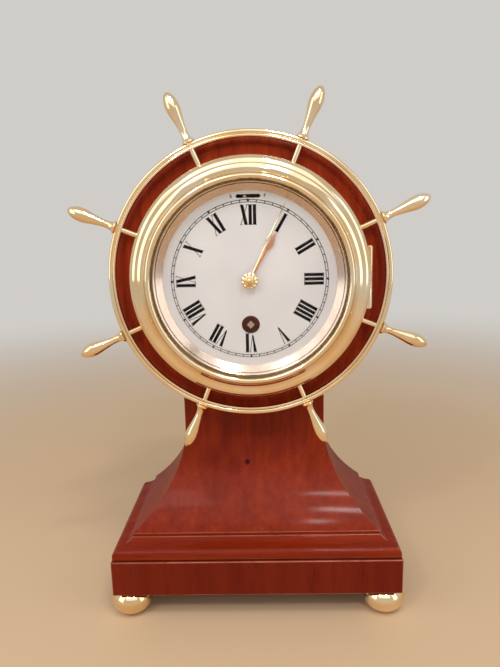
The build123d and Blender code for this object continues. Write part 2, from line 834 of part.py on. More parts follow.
def winding_arbor():
    """the barrel's arbor, squared in front for the key"""
    place = (0, -winding_drop)
    body = rod(winding_arbor_radius, winding_square_back, back_plate_face + plate_thickness, *place)
    square = Pos(*place) * Rot(0, 0, 45) * Rectangle(winding_square, winding_square)
    return body + slab(square, winding_square_face, winding_square_back - winding_square_face)


def ratchet_wheel():
    """the saw-toothed ratchet on the winding square"""
    corners = []
    for tooth in range(ratchet_teeth):
        for radius in (ratchet_radius, ratchet_root_radius):
            x, z = polar(radius, tooth * 360 / ratchet_teeth)
            corners.append((x, z - winding_drop))
    shape = make_face(Polyline(*corners, close=True))
    hole = winding_square + 2 * shaft_gap
    shape -= Pos(0, -winding_drop) * Rot(0, 0, 45) * Rectangle(hole, hole)
    return slab(shape, ratchet_face, ratchet_thickness)


def click():
    """the pawl whose nose rests in the ratchet, with its pivot hole"""
    x, z = click_pivot
    root = ratchet_root_radius + click_gap
    bottom = click_gap - winding_drop
    nose = make_face(Polyline(
        (root, bottom), (root + click_nose, bottom), (x + click_hub_radius, z),
        (x - click_hub_radius, z), (root + click_nose / 2, bottom + click_nose / 2), close=True))
    shape = nose + Pos(x, z) * Circle(click_hub_radius)
    shape -= Pos(x, z) * Circle(click_screw_radius + shaft_gap)
    return slab(shape, ratchet_face, ratchet_thickness)


def click_screw():
    """the shouldered screw that the click turns on"""
    head_back = ratchet_face - shaft_gap
    body = rod(click_screw_radius, head_back, front_plate_back, *click_pivot)
    return body + rod(click_hub_radius, head_back - click_head_height, head_back, *click_pivot)


def second_wheel():
    """the second arbor: its pinion meets the barrel and its wheel drives the centre pinion"""
    place = second_place()
    from_barrel = bearing((0, -winding_drop), place)
    phase = mesh_phase(from_barrel, barrel_teeth, 0, second_pinion_teeth)
    pinion_face = barrel_back - (barrel_wheel_thickness + pinion_length) / 2
    body = arbor(*between_plates(), place)
    body += pinion(second_pinion_teeth, barrel_module, phase, place, pinion_face)
    body += rod(hub_radius, pinion_face + pinion_length, second_wheel_face, *place)
    return body + wheel(second_wheel_teeth, second_module, 0, place, second_wheel_face)


def centre_wheel():
    """the centre arbor, with its pinion, its wheel and the long front end that carries the hands"""
    place = (0, 0)
    second = second_place()
    phase = mesh_phase(bearing(second, place), second_wheel_teeth, 0, centre_pinion_teeth)
    pinion_face = second_wheel_face + (wheel_thickness - pinion_length) / 2
    front, back = between_plates()
    arbor_front = minute_hand_face - collet_height + collet_crown + shaft_gap
    body = rod(arbor_radius, arbor_front, back)
    body += rod(pivot_radius, back, back_plate_face + plate_thickness)
    body += pinion(centre_pinion_teeth, second_module, phase, place, pinion_face)
    body += rod(hub_radius, pinion_face + pinion_length, centre_wheel_face)
    return body + wheel(centre_wheel_teeth, third_module, 0, place, centre_wheel_face)


def third_wheel():
    """the third arbor, with its pinion at the back and its wheel in front"""
    place = third_place()
    phase = mesh_phase(third_bearing, centre_wheel_teeth, 0, third_pinion_teeth)
    pinion_face = centre_wheel_face + (wheel_thickness - pinion_length) / 2
    body = arbor(*between_plates(), place)
    body += pinion(third_pinion_teeth, third_module, phase, place, pinion_face)
    body += rod(hub_radius, third_wheel_face - wheel_thickness, third_wheel_face, *place)
    return body + wheel(third_wheel_teeth, fourth_module, 0, place, third_wheel_face)


def cannon_pinion():
    """the cannon pinion, a friction fit on the centre arbor, with the pipe that carries the minute hand"""
    back = cannon_face + cannon_length
    body = pinion(cannon_teeth, motion_module, 0, (0, 0), cannon_face, cannon_length)
    body += rod(cannon_pipe_radius, minute_hand_face, cannon_face)
    return body - rod(arbor_radius + shaft_gap, minute_hand_face - overrun, back + overrun)


def minute_wheel():
    """the minute wheel and its pinion, which gear the hour hand down to the minute hand"""
    place = minute_wheel_place()
    phase = mesh_phase(minute_wheel_bearing, cannon_teeth, 0, minute_wheel_teeth)
    body = wheel(minute_wheel_teeth, motion_module, phase, place, minute_wheel_face, minute_wheel_thickness)
    body += pinion(minute_pinion_teeth, motion_module, 0, place, minute_wheel_face - minute_pinion_length,
                   minute_pinion_length)
    return body - rod(minute_stud_radius + shaft_gap, minute_wheel_face - minute_pinion_length - overrun,
                      minute_wheel_face + minute_wheel_thickness + overrun, *place)


def hour_wheel():
    """the hour wheel and the pipe that carries the hour hand"""
    place = minute_wheel_place()
    phase = mesh_phase(bearing(place, (0, 0)), minute_pinion_teeth, 0, hour_wheel_teeth)
    back = hour_wheel_face + hour_wheel_thickness
    body = slab(toothed(hour_wheel_teeth, motion_module, phase, wheel_root_share, wheel_tip_share, (0, 0)),
                hour_wheel_face, hour_wheel_thickness)
    body += rod(hour_pipe_radius, hour_hand_face, hour_wheel_face)
    return body - rod(hour_pipe_bore, hour_hand_face - overrun, back + overrun)


def index_lever():
    """the regulator's index: an arm whose bent pin shows in the slot at twelve"""
    pivot = (0, index_pivot_rise)
    reach = regulator_radius - index_pivot_rise
    lean = math.degrees(math.asin(index_lean / reach))
    tip = Pos(*pivot) * Rot(0, 0, lean) * Pos(0, reach)
    arm = Pos(*pivot) * Rot(0, 0, lean) * Pos(0, reach / 2) * Rectangle(index_arm_width, reach)
    shape = arm + Pos(*pivot) * Circle(index_hub_radius) + tip * Circle(index_arm_width / 2)
    shape -= Pos(*pivot) * Circle(index_stud_radius + shaft_gap)
    body = slab(shape, index_face, index_thickness)
    return body + slab(tip * Circle(index_pin_radius), index_pin_front, index_face - index_pin_front)


def index_stud():
    """the shouldered stud in the front plate that the index turns on"""
    pivot = (0, index_pivot_rise)
    body = rod(index_stud_radius, index_face - shaft_gap, front_plate_back, *pivot)
    body += rod(index_hub_radius, index_face + index_thickness + shaft_gap, front_plate_face, *pivot)
    return body + rod(index_hub_radius, index_face - shaft_gap - click_head_height,
                      index_face - shaft_gap, *pivot)


def minute_stud():
    """the stud that the minute wheel turns on"""
    place = minute_wheel_place()
    body = rod(minute_stud_radius, minute_wheel_face - minute_pinion_length, front_plate_back, *place)
    return body + rod(hub_radius / 2, minute_wheel_face + minute_wheel_thickness + shaft_gap,
                      front_plate_face, *place)


def front_plate():
    """the movement's front plate, drilled for every arbor, stud and foot"""
    through = (front_plate_face - overrun, front_plate_back + overrun)
    body = rod(plate_radius, front_plate_face, front_plate_back)
    holes = [((0, 0), arbor_radius), ((0, -winding_drop), winding_arbor_radius),
             (second_place(), pivot_radius), (third_place(), pivot_radius),
             (minute_wheel_place(), minute_stud_radius), ((0, index_pivot_rise), index_stud_radius),
             (click_pivot, click_screw_radius)]
    holes += [(polar(post_circle, angle), post_screw_radius) for angle in post_angles]
    holes += [(polar(dial_foot_circle, angle), dial_foot_radius) for angle in dial_foot_angles]
    for place, radius in holes:
        body -= rod(radius + shaft_gap, *through, *place)
    return body


def back_plate():
    """the movement's back plate"""
    back = back_plate_face + plate_thickness
    body = rod(plate_radius, back_plate_face, back)
    holes = [((0, 0), pivot_radius), ((0, -winding_drop), winding_arbor_radius),
             (second_place(), pivot_radius), (third_place(), pivot_radius)]
    holes += [(polar(post_circle, angle), post_screw_radius) for angle in post_angles]
    for place, radius in holes:
        body -= rod(radius + shaft_gap, back_plate_face - overrun, back + overrun, *place)
    return body


def posts():
    """the turned pillars between the plates, riveted in front and tapped behind"""
    made = []
    for angle in post_angles:
        place = polar(post_circle, angle)
        body = rod(post_radius, front_plate_back, back_plate_face, *place)
        body += rod(post_screw_radius, front_plate_face, front_plate_back, *place)
        made.append(body - rod(post_screw_radius + shaft_gap,
                               back_plate_face + plate_thickness - post_screw_length - shaft_gap,
                               back_plate_face + overrun, *place))
    return made


def plate_screws():
    """the screws through the back plate into the pillars"""
    back = back_plate_face + plate_thickness
    one = Rot(0, 0, 180) * cheese_screw(post_screw_radius, post_screw_length, post_screw_head_radius,
                                       post_screw_head_height)
    return [Pos(x, back, z) * one for x, z in (polar(post_circle, angle) for angle in post_angles)]


def export(name, pieces, place):
    """write a node: one solid, or a group of like solids"""
    if isinstance(pieces, list):
        shape = Compound(children=[place * piece for piece in pieces])
    else:
        shape = place * pieces
    export_step(shape, f"parts/{name}.step")


stand_pieces = {
    "plinth": plinth(),
    "base_moulding": base_moulding(),
    "pillar": pillar(),
    "base_screws": base_screws(),
}
for name, (x, y) in foot_places().items():
    stand_pieces[name] = Pos(x, y, 0) * foot()

clock_pieces = {
    "plaque": plaque(),
    "plaque_screws": plaque_screws(),
    "case": case(),
    "case_screws": case_screws(),
    "wheel_rim": wheel_rim(),
    "bezel": bezel(),
    "glass": glass(),
    "glass_ring": glass_ring(),
    "hinge_leaf_case": hinge_leaf(1, [1]),
    "hinge_leaf_bezel": hinge_leaf(-1, [0, 2]),
    "hinge_pin": hinge_pin(),
    "dial": dial(),
    "reflector": reflector(),
    "dial_screws": dial_screws(),
    "hour_hand": hour_hand(),
    "minute_hand": minute_hand(),
    "hand_collet": hand_collet(),
    "front_plate": front_plate(),
    "back_plate": back_plate(),
    "plate_posts": posts(),
    "plate_screws": plate_screws(),
    "barrel": barrel(),
    "barrel_cap": barrel_cap(),
    "winding_arbor": winding_arbor(),
    "ratchet_wheel": ratchet_wheel(),
    "click": click(),
    "click_screw": click_screw(),
    "second_wheel": second_wheel(),
    "centre_wheel": centre_wheel(),
    "third_wheel": third_wheel(),
    "cannon_pinion": cannon_pinion(),
    "minute_wheel": minute_wheel(),
    "minute_stud": minute_stud(),
    "hour_wheel": hour_wheel(),
    "index_lever": index_lever(),
    "index_stud": index_stud(),
}
one_spindle = spindle()
for turn in range(spindle_count):
    angle = spindle_angle + turn * 360 / spindle_count
    clock_pieces[f"spindle_{turn + 1}"] = Rot(0, -angle, 0) * one_spindle

os.makedirs("parts", exist_ok=True)
for name, pieces in stand_pieces.items():
    export(name, pieces, Pos(0, -mid_depth, 0))
for name, pieces in clock_pieces.items():
    export(name, pieces, Pos(0, -mid_depth, axis_height))
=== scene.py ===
# Ship wheel clock: the finish of every visible surface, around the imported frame.
# Lengths are metres. Clock pieces are drawn about the wheel's centre, with depths counted back from the
# rim's middle plane; stand pieces are drawn up from the floor. Both are the frame's own places.
import json
import math
import bmesh
import bpy
from mathutils import Matrix, Vector


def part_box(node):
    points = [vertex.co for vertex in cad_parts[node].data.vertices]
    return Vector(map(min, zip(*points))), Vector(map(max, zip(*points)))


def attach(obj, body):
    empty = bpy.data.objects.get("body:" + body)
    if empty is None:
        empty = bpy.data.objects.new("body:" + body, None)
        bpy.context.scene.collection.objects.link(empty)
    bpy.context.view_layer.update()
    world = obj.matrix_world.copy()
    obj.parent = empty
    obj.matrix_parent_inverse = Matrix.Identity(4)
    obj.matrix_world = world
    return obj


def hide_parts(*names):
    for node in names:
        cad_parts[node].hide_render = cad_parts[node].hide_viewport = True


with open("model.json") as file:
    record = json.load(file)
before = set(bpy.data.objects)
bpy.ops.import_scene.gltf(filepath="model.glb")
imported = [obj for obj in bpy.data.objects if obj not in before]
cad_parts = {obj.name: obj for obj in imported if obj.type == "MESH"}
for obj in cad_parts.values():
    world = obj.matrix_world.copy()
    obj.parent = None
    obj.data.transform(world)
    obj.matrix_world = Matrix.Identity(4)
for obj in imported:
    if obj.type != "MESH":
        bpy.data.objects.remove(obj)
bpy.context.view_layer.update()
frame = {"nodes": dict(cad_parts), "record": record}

# Camera: 31 mm above the wheel's centre, a little to its right, looking down at the stand.
# The focal length, place and turn were fitted to the wheel, the dial and the stand's corners.
photo_height = 667
focal_length_px = 550.3
camera_place = Vector((0.00658, -0.3534, 0.24609))
camera_yaw, camera_pitch, camera_roll = (math.radians(angle) for angle in (-1.31, 11.13, -1.38))
forward = Vector((math.sin(camera_yaw) * math.cos(camera_pitch),
                  math.cos(camera_yaw) * math.cos(camera_pitch), -math.sin(camera_pitch)))
level = Vector((math.cos(camera_yaw), -math.sin(camera_yaw), 0))
upward = level.cross(forward)
right = math.cos(camera_roll) * level + math.sin(camera_roll) * upward
upward = right.cross(forward)
camera_data = bpy.data.cameras.new("Camera")
camera_data.sensor_fit = "AUTO"
camera_data.sensor_width = 36
camera_data.lens = camera_data.sensor_width * focal_length_px / photo_height
camera_data.clip_start = 0.01
camera = bpy.data.objects.new("Camera", camera_data)
camera_turn = Matrix((right, upward, -forward)).transposed()
camera.matrix_world = Matrix.Translation(camera_place) @ camera_turn.to_4x4()
bpy.context.scene.collection.objects.link(camera)
bpy.context.scene.camera = camera
bpy.context.scene.view_settings.view_transform = "Standard"


# Studio: a plain pale floor that fades into a pale surround, which metal and glass show as the camera does.
# The light on the object comes from an even sky, four soft boxes and four small bright windows, whose
# reflections are the short streaks on the brass and the lacquer.
def linear(colour):
    """an sRGB hex colour turned to linear"""
    parts = [int(colour[place:place + 2], 16) / 255 for place in (1, 3, 5)]
    return tuple(part / 12.92 if part <= 0.04045 else ((part + 0.055) / 1.055) ** 2.4 for part in parts) + (1,)


def wire(tree, node, inputs):
    """a node's inputs, each set to a value or linked to a socket"""
    for name, value in inputs.items():
        if isinstance(value, bpy.types.NodeSocket):
            tree.links.new(value, node.inputs[name])
        else:
            node.inputs[name].default_value = value


def add(tree, kind, inputs=None, **settings):
    """a node with its settings and links"""
    node = tree.nodes.new(kind)
    for name, value in settings.items():
        setattr(node, name, value)
    wire(tree, node, inputs or {})
    return node


def seen_directly(tree):
    """1 for the rays that show the surround itself: from the camera, off metal and through glass"""
    path = add(tree, "ShaderNodeLightPath")
    seen = path.outputs["Is Camera Ray"]
    for kind in ("Is Glossy Ray", "Is Transmission Ray"):
        seen = add(tree, "ShaderNodeMath", {0: seen, 1: path.outputs[kind]}, operation="MAXIMUM").outputs[0]
    return seen


def new_material(name):
    """a material that is still bare, with its tree and its shader"""
    material = bpy.data.materials.new(name)
    material.use_nodes = True
    return material, material.node_tree, material.node_tree.nodes["Principled BSDF"]


sky_colour, sky_strength = "#f6f1ea", 0.5
surround_colour, surround_strength = "#dad7d2", 0.9
world = bpy.data.worlds.new("Studio")
world.use_nodes = True
tree = world.node_tree
tree.nodes.clear()
sky = add(tree, "ShaderNodeBackground", {"Color": linear(sky_colour), "Strength": sky_strength})
surround = add(tree, "ShaderNodeBackground", {"Color": linear(surround_colour), "Strength": surround_strength})
mixed = add(tree, "ShaderNodeMixShader", {0: seen_directly(tree), 1: sky.outputs[0], 2: surround.outputs[0]})
add(tree, "ShaderNodeOutputWorld", {"Surface": mixed.outputs[0]})
bpy.context.scene.world = world

# Each lamp's place, its width and depth, and its power in watts.
soft_boxes = {
    "Front box": ((0.0, -0.8, 1.0), (1.4, 1.0), 3.55),
    "Sheen box": ((-0.3, -0.75, 0.95), (0.3, 0.3), 1.1),
    "Left box": ((-0.85, -0.55, 0.55), (0.55, 0.9), 2.1),
    "Right box": ((0.85, -0.5, 0.45), (0.4, 0.8), 1.3),
    "Right window": ((0.235, -0.9, 1.01), (0.21, 0.05), 1.6),
    "High window": ((0.25, -0.58, 1.11), (0.21, 0.06), 2.3),
    "Small window": ((0.14, -0.37, 1.1), (0.05, 0.05), 0.45),
    "Left window": ((-0.5, -0.8, 0.95), (0.1, 0.1), 1.5),
}
lamps_aim = Vector((0, 0, 0.16))
for name, (place, (width, depth), power) in soft_boxes.items():
    lamp = bpy.data.lights.new(name, "AREA")
    lamp.shape = "RECTANGLE"
    lamp.size, lamp.size_y = width, depth
    lamp.energy = power
    holder = bpy.data.objects.new(name, lamp)
    turn = (lamps_aim - Vector(place)).to_track_quat("-Z", "Y")
    holder.matrix_world = Matrix.Translation(place) @ turn.to_matrix().to_4x4()
    holder.visible_camera = False
    bpy.context.scene.collection.objects.link(holder)

# Matt paper: warm and without a sheen. From fade_start to fade_end away from the clock it turns into the
# surround for the rays that see it, and stays paper for the light that it throws back.
floor_half = 6.0
fade_start, fade_end = 0.25, 1.3
floor_mesh = bpy.data.meshes.new("Floor")
floor_mesh.from_pydata([(-floor_half, -floor_half, 0), (floor_half, -floor_half, 0),
                        (floor_half, floor_half, 0), (-floor_half, floor_half, 0)], [], [(0, 1, 2, 3)])
floor = bpy.data.objects.new("Floor", floor_mesh)
bpy.context.scene.collection.objects.link(floor)
floor_paper, tree, paper = new_material("Matt paper floor")
wire(tree, paper, {"Base Color": linear("#cfb18e"), "Roughness": 0.7})
where = add(tree, "ShaderNodeTexCoord")
distance = add(tree, "ShaderNodeVectorMath", {0: where.outputs["Object"]}, operation="LENGTH")
far = add(tree, "ShaderNodeMapRange",
          {"Value": distance.outputs["Value"], "From Min": fade_start, "From Max": fade_end},
          interpolation_type="SMOOTHSTEP")
far = add(tree, "ShaderNodeMath", {0: far.outputs[0], 1: seen_directly(tree)}, operation="MULTIPLY")
haze = add(tree, "ShaderNodeEmission", {"Color": linear(surround_colour), "Strength": surround_strength})
blend = add(tree, "ShaderNodeMixShader", {0: far.outputs[0], 1: paper.outputs[0], 2: haze.outputs[0]})
tree.links.new(blend.outputs[0], tree.nodes["Material Output"].inputs["Surface"])
floor_mesh.materials.append(floor_paper)


# Stand: three courses of polished mahogany, which share one way of making.
# Each course is a board moulded along its front and both sides and mitred, with a flat back.
def finished(mesh_data, name, material, body, nodes=()):
    """an object for a finished mesh, riding on its body in place of its CAD nodes"""
    piece = bpy.data.objects.new(name, mesh_data)
    bpy.context.scene.collection.objects.link(piece)
    mesh_data.materials.clear()
    mesh_data.materials.append(material)
    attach(piece, body)
    if nodes:
        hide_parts(*nodes)
    return piece


def eased(piece, width, angle=35, painted_highlight=None):
    """the eased arris of a finished edge, painted pale as a highlight on request, with normals that keep the
    flats flat
    """
    bevel = piece.modifiers.new("Eased arris", "BEVEL")
    bevel.width = width
    bevel.segments = 3
    # The bevel's faces take the pale copy, a painted highlight along the arris.
    if painted_highlight:
        piece.data.materials.append(painted_highlight)
        bevel.material = 1
    bevel.limit_method = "ANGLE"
    bevel.angle_limit = math.radians(angle)
    weighted = piece.modifiers.new("Flat faces stay flat", "WEIGHTED_NORMAL")
    weighted.keep_sharp = False


def crisp(piece, angle=30):
    """turned edges stay sharp, and the curves between them smooth"""
    piece.data.set_sharp_from_angle(angle=math.radians(angle))


def closed_mesh(bm, name):
    """a plain mesh from a bmesh, merged, facing outwards and smooth"""
    bmesh.ops.remove_doubles(bm, verts=bm.verts, dist=1e-7)
    bmesh.ops.recalc_face_normals(bm, faces=bm.faces)
    mesh_data = bpy.data.meshes.new(name)
    bm.to_mesh(mesh_data)
    bm.free()
    mesh_data.shade_smooth()
    return mesh_data


def courses(name, rows, back):
    """a board from rows of half width, front depth and height, with a flat back"""
    bm = bmesh.new()
    rings = [[bm.verts.new((x, y, height)) for x, y in
              ((-half, back), (-half, front), (half, front), (half, back))] for half, front, height in rows]
    for below, above in zip(rings, rings[1:]):
        for side in range(4):
            after = (side + 1) % 4
            bm.faces.new((below[side], below[after], above[after], above[side]))
    bm.faces.new(rings[0])
    bm.faces.new(rings[-1])
    return closed_mesh(bm, name)


def bowed(start, end, bow, steps=12):
    """points along an arc from start to end, whose middle stands off the chord to its right"""
    run, rise = end[0] - start[0], end[1] - start[1]
    span = math.hypot(run, rise)
    radius = (span ** 2 / 4 + bow ** 2) / (2 * abs(bow))
    swing = 2 * math.asin(min(1, span / 2 / radius))
    if abs(bow) > radius:
        swing = 2 * math.pi - swing
    side = math.copysign(1, bow)
    normal = (rise / span * side, -run / span * side)
    centre = ((start[0] + end[0]) / 2 + normal[0] * (abs(bow) - radius),
              (start[1] + end[1]) / 2 + normal[1] * (abs(bow) - radius))
    points = []
    for step in range(steps + 1):
        angle = swing * (step / steps - 0.5)
        along = (run / span, rise / span)
        points.append((centre[0] + radius * (normal[0] * math.cos(angle) + along[0] * math.sin(angle)),
                       centre[1] + radius * (normal[1] * math.cos(angle) + along[1] * math.sin(angle))))
    return points


def quarter(start, end, steps=12):
    """points along the arc from start to end that leaves start going straight up or down"""
    run, rise = end[0] - start[0], end[1] - start[1]
    radius = (run ** 2 + rise ** 2) / (2 * abs(run))
    turn = math.asin(min(1, abs(rise) / radius))
    points = []
    for step in range(steps + 1):
        angle = turn * step / steps
        points.append((start[0] + math.copysign(radius * (1 - math.cos(angle)), run),
                       start[1] + math.copysign(radius * math.sin(angle), rise)))
    return points


# Pitches of the grain's pores, streaks and broad figure across it, in millimetres. Real pores are a quarter of
# this, too fine to show, so they are drawn as coarse as they need to be.
pore_mm, streak_mm, figure_mm = 0.8333, 4.762, 20.83
grain_stretch = 0.06


def mahogany(name, stretch, dark="#761f0b", light="#8f2f0e", knot=None, polish=0.13):
    """French-polished mahogany: deep red-brown, fine dark pores along the grain, a soft lacquer on top.
    stretch scales the grain along X, Y and Z, and is low along it. knot is the place of a pin knot."""
    material, tree, shader = new_material(name)
    place = add(tree, "ShaderNodeTexCoord").outputs["Object"]
    grain_space = add(tree, "ShaderNodeMapping", {"Vector": place, "Scale": stretch}).outputs[0]
    figure = add(tree, "ShaderNodeTexNoise",
                 {"Vector": grain_space, "Scale": 1000 / figure_mm, "Detail": 3.0, "Roughness": 0.5})
    streaks = add(tree, "ShaderNodeTexNoise",
                  {"Vector": grain_space, "Scale": 1000 / streak_mm, "Detail": 4.0, "Roughness": 0.55})
    pores = add(tree, "ShaderNodeTexNoise",
                {"Vector": grain_space, "Scale": 1000 / pore_mm, "Detail": 2.0, "Roughness": 0.5})
    ground = add(tree, "ShaderNodeValToRGB", {"Fac": streaks.outputs[0]})
    broad = add(tree, "ShaderNodeValToRGB", {"Fac": figure.outputs[0]})
    pits = add(tree, "ShaderNodeValToRGB", {"Fac": pores.outputs[0]})
    for ramp, stops in ((ground, ((0.25, dark), (0.75, light))),
                        (broad, ((0.32, "#e6d2c6"), (0.68, "#ffffff"))),
                        (pits, ((0.3, "#e2d0c6"), (0.42, "#ffffff")))):
        for element, (position, colour) in zip(ramp.color_ramp.elements, stops):
            element.position, element.color = position, linear(colour)
    layers = [broad.outputs[0], pits.outputs[0]]
    if knot:
        knot_radius = 0.0024
        depth_share = 0.2
        flat_place = add(tree, "ShaderNodeVectorMath", {0: place, 1: (1, depth_share, 1)},
                         operation="MULTIPLY")
        centre = (knot[0], knot[1] * depth_share, knot[2])
        away = add(tree, "ShaderNodeVectorMath", {0: flat_place.outputs[0], 1: centre}, operation="DISTANCE")
        rings = add(tree, "ShaderNodeMapRange", {"Value": away.outputs["Value"], "From Max": knot_radius})
        eye = add(tree, "ShaderNodeValToRGB", {"Fac": rings.outputs[0]})
        eye.color_ramp.elements[0].color = linear("#a87868")
        eye.color_ramp.elements[1].position = 0.95
        eye.color_ramp.elements[1].color = linear("#ffffff")
        eye.color_ramp.elements.new(0.4).color = linear("#4a2c26")
        layers.append(eye.outputs[0])
    coloured = ground.outputs[0]
    for layer in layers:
        coloured = add(tree, "ShaderNodeMix", {0: 1.0, 6: coloured, 7: layer},
                       data_type="RGBA", blend_type="MULTIPLY").outputs[2]
    bump = add(tree, "ShaderNodeBump", {"Height": pores.outputs[0], "Strength": 0.03, "Distance": 0.0002})
    wire(tree, shader, {"Base Color": coloured, "Normal": bump.outputs[0], "Roughness": 0.5,
                        "Specular IOR Level": 0.08, "Coat Weight": polish, "Coat Roughness": 0.11,
                        "Coat IOR": 1.45})
    return material


plinth_low, plinth_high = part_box("plinth")
moulding_low, moulding_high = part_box("base_moulding")
pillar_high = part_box("pillar")[1]
stand_half = plinth_high.x
stand_front = plinth_low.y
stand_back = plinth_high.y
lying = (grain_stretch, 1, 1)
standing = (1, 1, grain_stretch)
even = (0.2, 0.2, 0.2)
lying_grain = mahogany("French-polished mahogany, lying grain", lying)
# The plinth takes darker colours than the rest of the stand, a painted shade for its upright front, which gets
# less light from above than the flare.
plinth_grain_painted_shade = mahogany("French-polished mahogany, darkened as painted shade", standing, dark="#6a1b08", light="#77220b")
# The arrises take a pale copy of the mahogany, a painted highlight that shows as a thin pale line along each
# edge.
painted_highlight_grain = mahogany("French-polished mahogany, painted arris highlight", even, dark="#8c4632",
                        light="#b4705a")

plinth_arris = 0.0006
plinth_rows = [(stand_half, stand_front, plinth_low.z), (stand_half, stand_front, plinth_high.z)]
plinth_mesh = courses("Plinth", plinth_rows, stand_back)
plinth = finished(plinth_mesh, "Plinth", plinth_grain_painted_shade, "stand", ["plinth"])
eased(plinth, plinth_arris, painted_highlight=painted_highlight_grain)

# Base moulding: a quirk, a rounded nose, a gently hollow slope and a fillet, run round the stand.
# It is lacquered as the rest, so its nose carries the long highlight.
quirk_height = 0.0013
quirk_inset = 0.0022
nose_inset = 0.0009
nose_flat = 0.0022
nose_round = 0.0039
slope_rise = 0.0032
slope_hollow = 0.0006
fillet_inset = 0.012
moulding_arris = 0.0003
nose_bottom = moulding_low.z + quirk_height
nose_shoulder = nose_bottom + nose_flat
nose_top = nose_shoulder + nose_round
slope_top = nose_top + slope_rise
moulding_line = [(quirk_inset, moulding_low.z), (quirk_inset, nose_bottom), (nose_inset, nose_bottom)]
moulding_line += quarter((nose_inset, nose_shoulder), (nose_inset + nose_round, nose_top))
moulding_line += bowed((nose_inset + nose_round, nose_top), (fillet_inset, slope_top), slope_hollow)[1:]
moulding_line += [(fillet_inset, moulding_high.z)]
moulding_mesh = courses("Base_moulding", [(stand_half - inset, stand_front + inset, height)
                                          for inset, height in moulding_line], stand_back)
moulding = finished(moulding_mesh, "Base_moulding", lying_grain, "stand", ["base_moulding"])
eased(moulding, moulding_arris, painted_highlight=painted_highlight_grain)

# Pillar: one block whose foot flares out to the moulding on the front and both sides.
# The two top corners are rounded, and the back is flat.
flare_inset = 0.0124
flare_height = 0.0604
pillar_half = 0.0465
pillar_top_round = 0.015
pillar_arris = 0.0005
round_steps = 16
flare_top = moulding_high.z + flare_height
flare_run = stand_half - flare_inset - pillar_half
flare = quarter((flare_inset + flare_run, flare_top), (flare_inset, moulding_high.z), steps=40)[::-1]
pillar_rows = [(stand_half - inset, stand_front + inset, height) for inset, height in flare]
pillar_front = stand_front + flare_inset + flare_run
for step in range(round_steps + 1):
    angle = math.radians(90 * step / round_steps)
    pillar_rows.append((pillar_half - pillar_top_round * (1 - math.cos(angle)), pillar_front,
                        pillar_high.z - pillar_top_round * (1 - math.sin(angle))))
pillar_mesh = courses("Pillar", pillar_rows, stand_back)
knot_place = (-0.0052, pillar_front - 0.003, 0.0897)
knotty_grain = mahogany("French-polished mahogany with a pin knot", standing, knot=knot_place)
pillar = finished(pillar_mesh, "Pillar", knotty_grain, "stand", ["pillar"])
eased(pillar, pillar_arris, painted_highlight=painted_highlight_grain)


# Feet: four turned brass buns, polished bright, each on its own stud.
# They are turned on the lathe, as all the round brass and the plaque are.
def turned(name, line, steps=192):
    """a body turned about the depth axis, from points of radius and depth"""
    bm = bmesh.new()
    rings = []
    for radius, depth in line:
        if radius < 1e-7:
            rings.append([bm.verts.new((0, depth, 0))])
        else:
            angles = [2 * math.pi * step / steps for step in range(steps)]
            rings.append([bm.verts.new((radius * math.cos(angle), depth, radius * math.sin(angle)))
                          for angle in angles])
    for one, two in zip(rings, rings[1:]):
        for step in range(steps):
            after = (step + 1) % steps
            corners = []
            for ring, order in ((one, (step, after)), (two, (after, step))):
                corners += [ring[0]] if len(ring) == 1 else [ring[place] for place in order]
            if len(set(corners)) > 2:
                bm.faces.new(corners)
    return closed_mesh(bm, name)


# Pitches of a polished brass's slow clouds and of its polishing marks, in millimetres. Real marks are a few
# hundredths, so they are drawn coarser, as the slight unevenness of the reflections that they give.
cloud_mm, marks_mm = 25.0, 1.4286


def polished_brass(name, colour="#edcfa0", pale="#f5e2c4", roughness=0.08, polishing_marks=0.003):
    """polished and lacquered brass: pale yellow gold, sharp reflections softened by fine polishing marks"""
    material, tree, shader = new_material(name)
    place = add(tree, "ShaderNodeTexCoord").outputs["Object"]
    cloud = add(tree, "ShaderNodeTexNoise",
                {"Vector": place, "Scale": 1000 / cloud_mm, "Detail": 2.0, "Roughness": 0.5})
    # The slow clouds shift the colour between colour and pale, a painted reflection standing for the uneven
    # room that polished brass mirrors; they also vary the roughness.
    uneven_reflection_tone = add(tree, "ShaderNodeValToRGB", {"Fac": cloud.outputs[0]})
    for element, (position, shade) in zip(uneven_reflection_tone.color_ramp.elements, ((0.35, colour), (0.7, pale))):
        element.position, element.color = position, linear(shade)
    marks = add(tree, "ShaderNodeTexNoise",
                {"Vector": place, "Scale": 1000 / marks_mm, "Detail": 3.0, "Roughness": 0.7})
    gloss = add(tree, "ShaderNodeMapRange", {"Value": cloud.outputs[0], "From Min": 0.3, "From Max": 0.7,
                                             "To Min": roughness * 0.7, "To Max": roughness * 1.5})
    bump = add(tree, "ShaderNodeBump",
               {"Height": marks.outputs[0], "Strength": polishing_marks, "Distance": 0.0001})
    wire(tree, shader, {"Base Color": uneven_reflection_tone.outputs[0], "Roughness": gloss.outputs[0],
                        "Normal": bump.outputs[0], "Metallic": 1.0})
    return material


brass = polished_brass("Polished brass")
foot_low, foot_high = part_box("foot_front_left")
foot_height = plinth_low.z
foot_radius = (foot_high.x - foot_low.x) / 2
foot_belly_height = 0.0096
foot_sole_radius = 0.0043
foot_top_radius = 0.0066
bun_steps = 24


def half_bun(end_radius, rise):
    """points of the part of an ellipse from the belly to an end of the bun, as radius and rise"""
    reach = rise / math.sqrt(1 - (end_radius / foot_radius) ** 2)
    angles = [math.asin(rise / reach) * step / bun_steps for step in range(bun_steps + 1)]
    return [(foot_radius * math.cos(angle), reach * math.sin(angle)) for angle in angles]


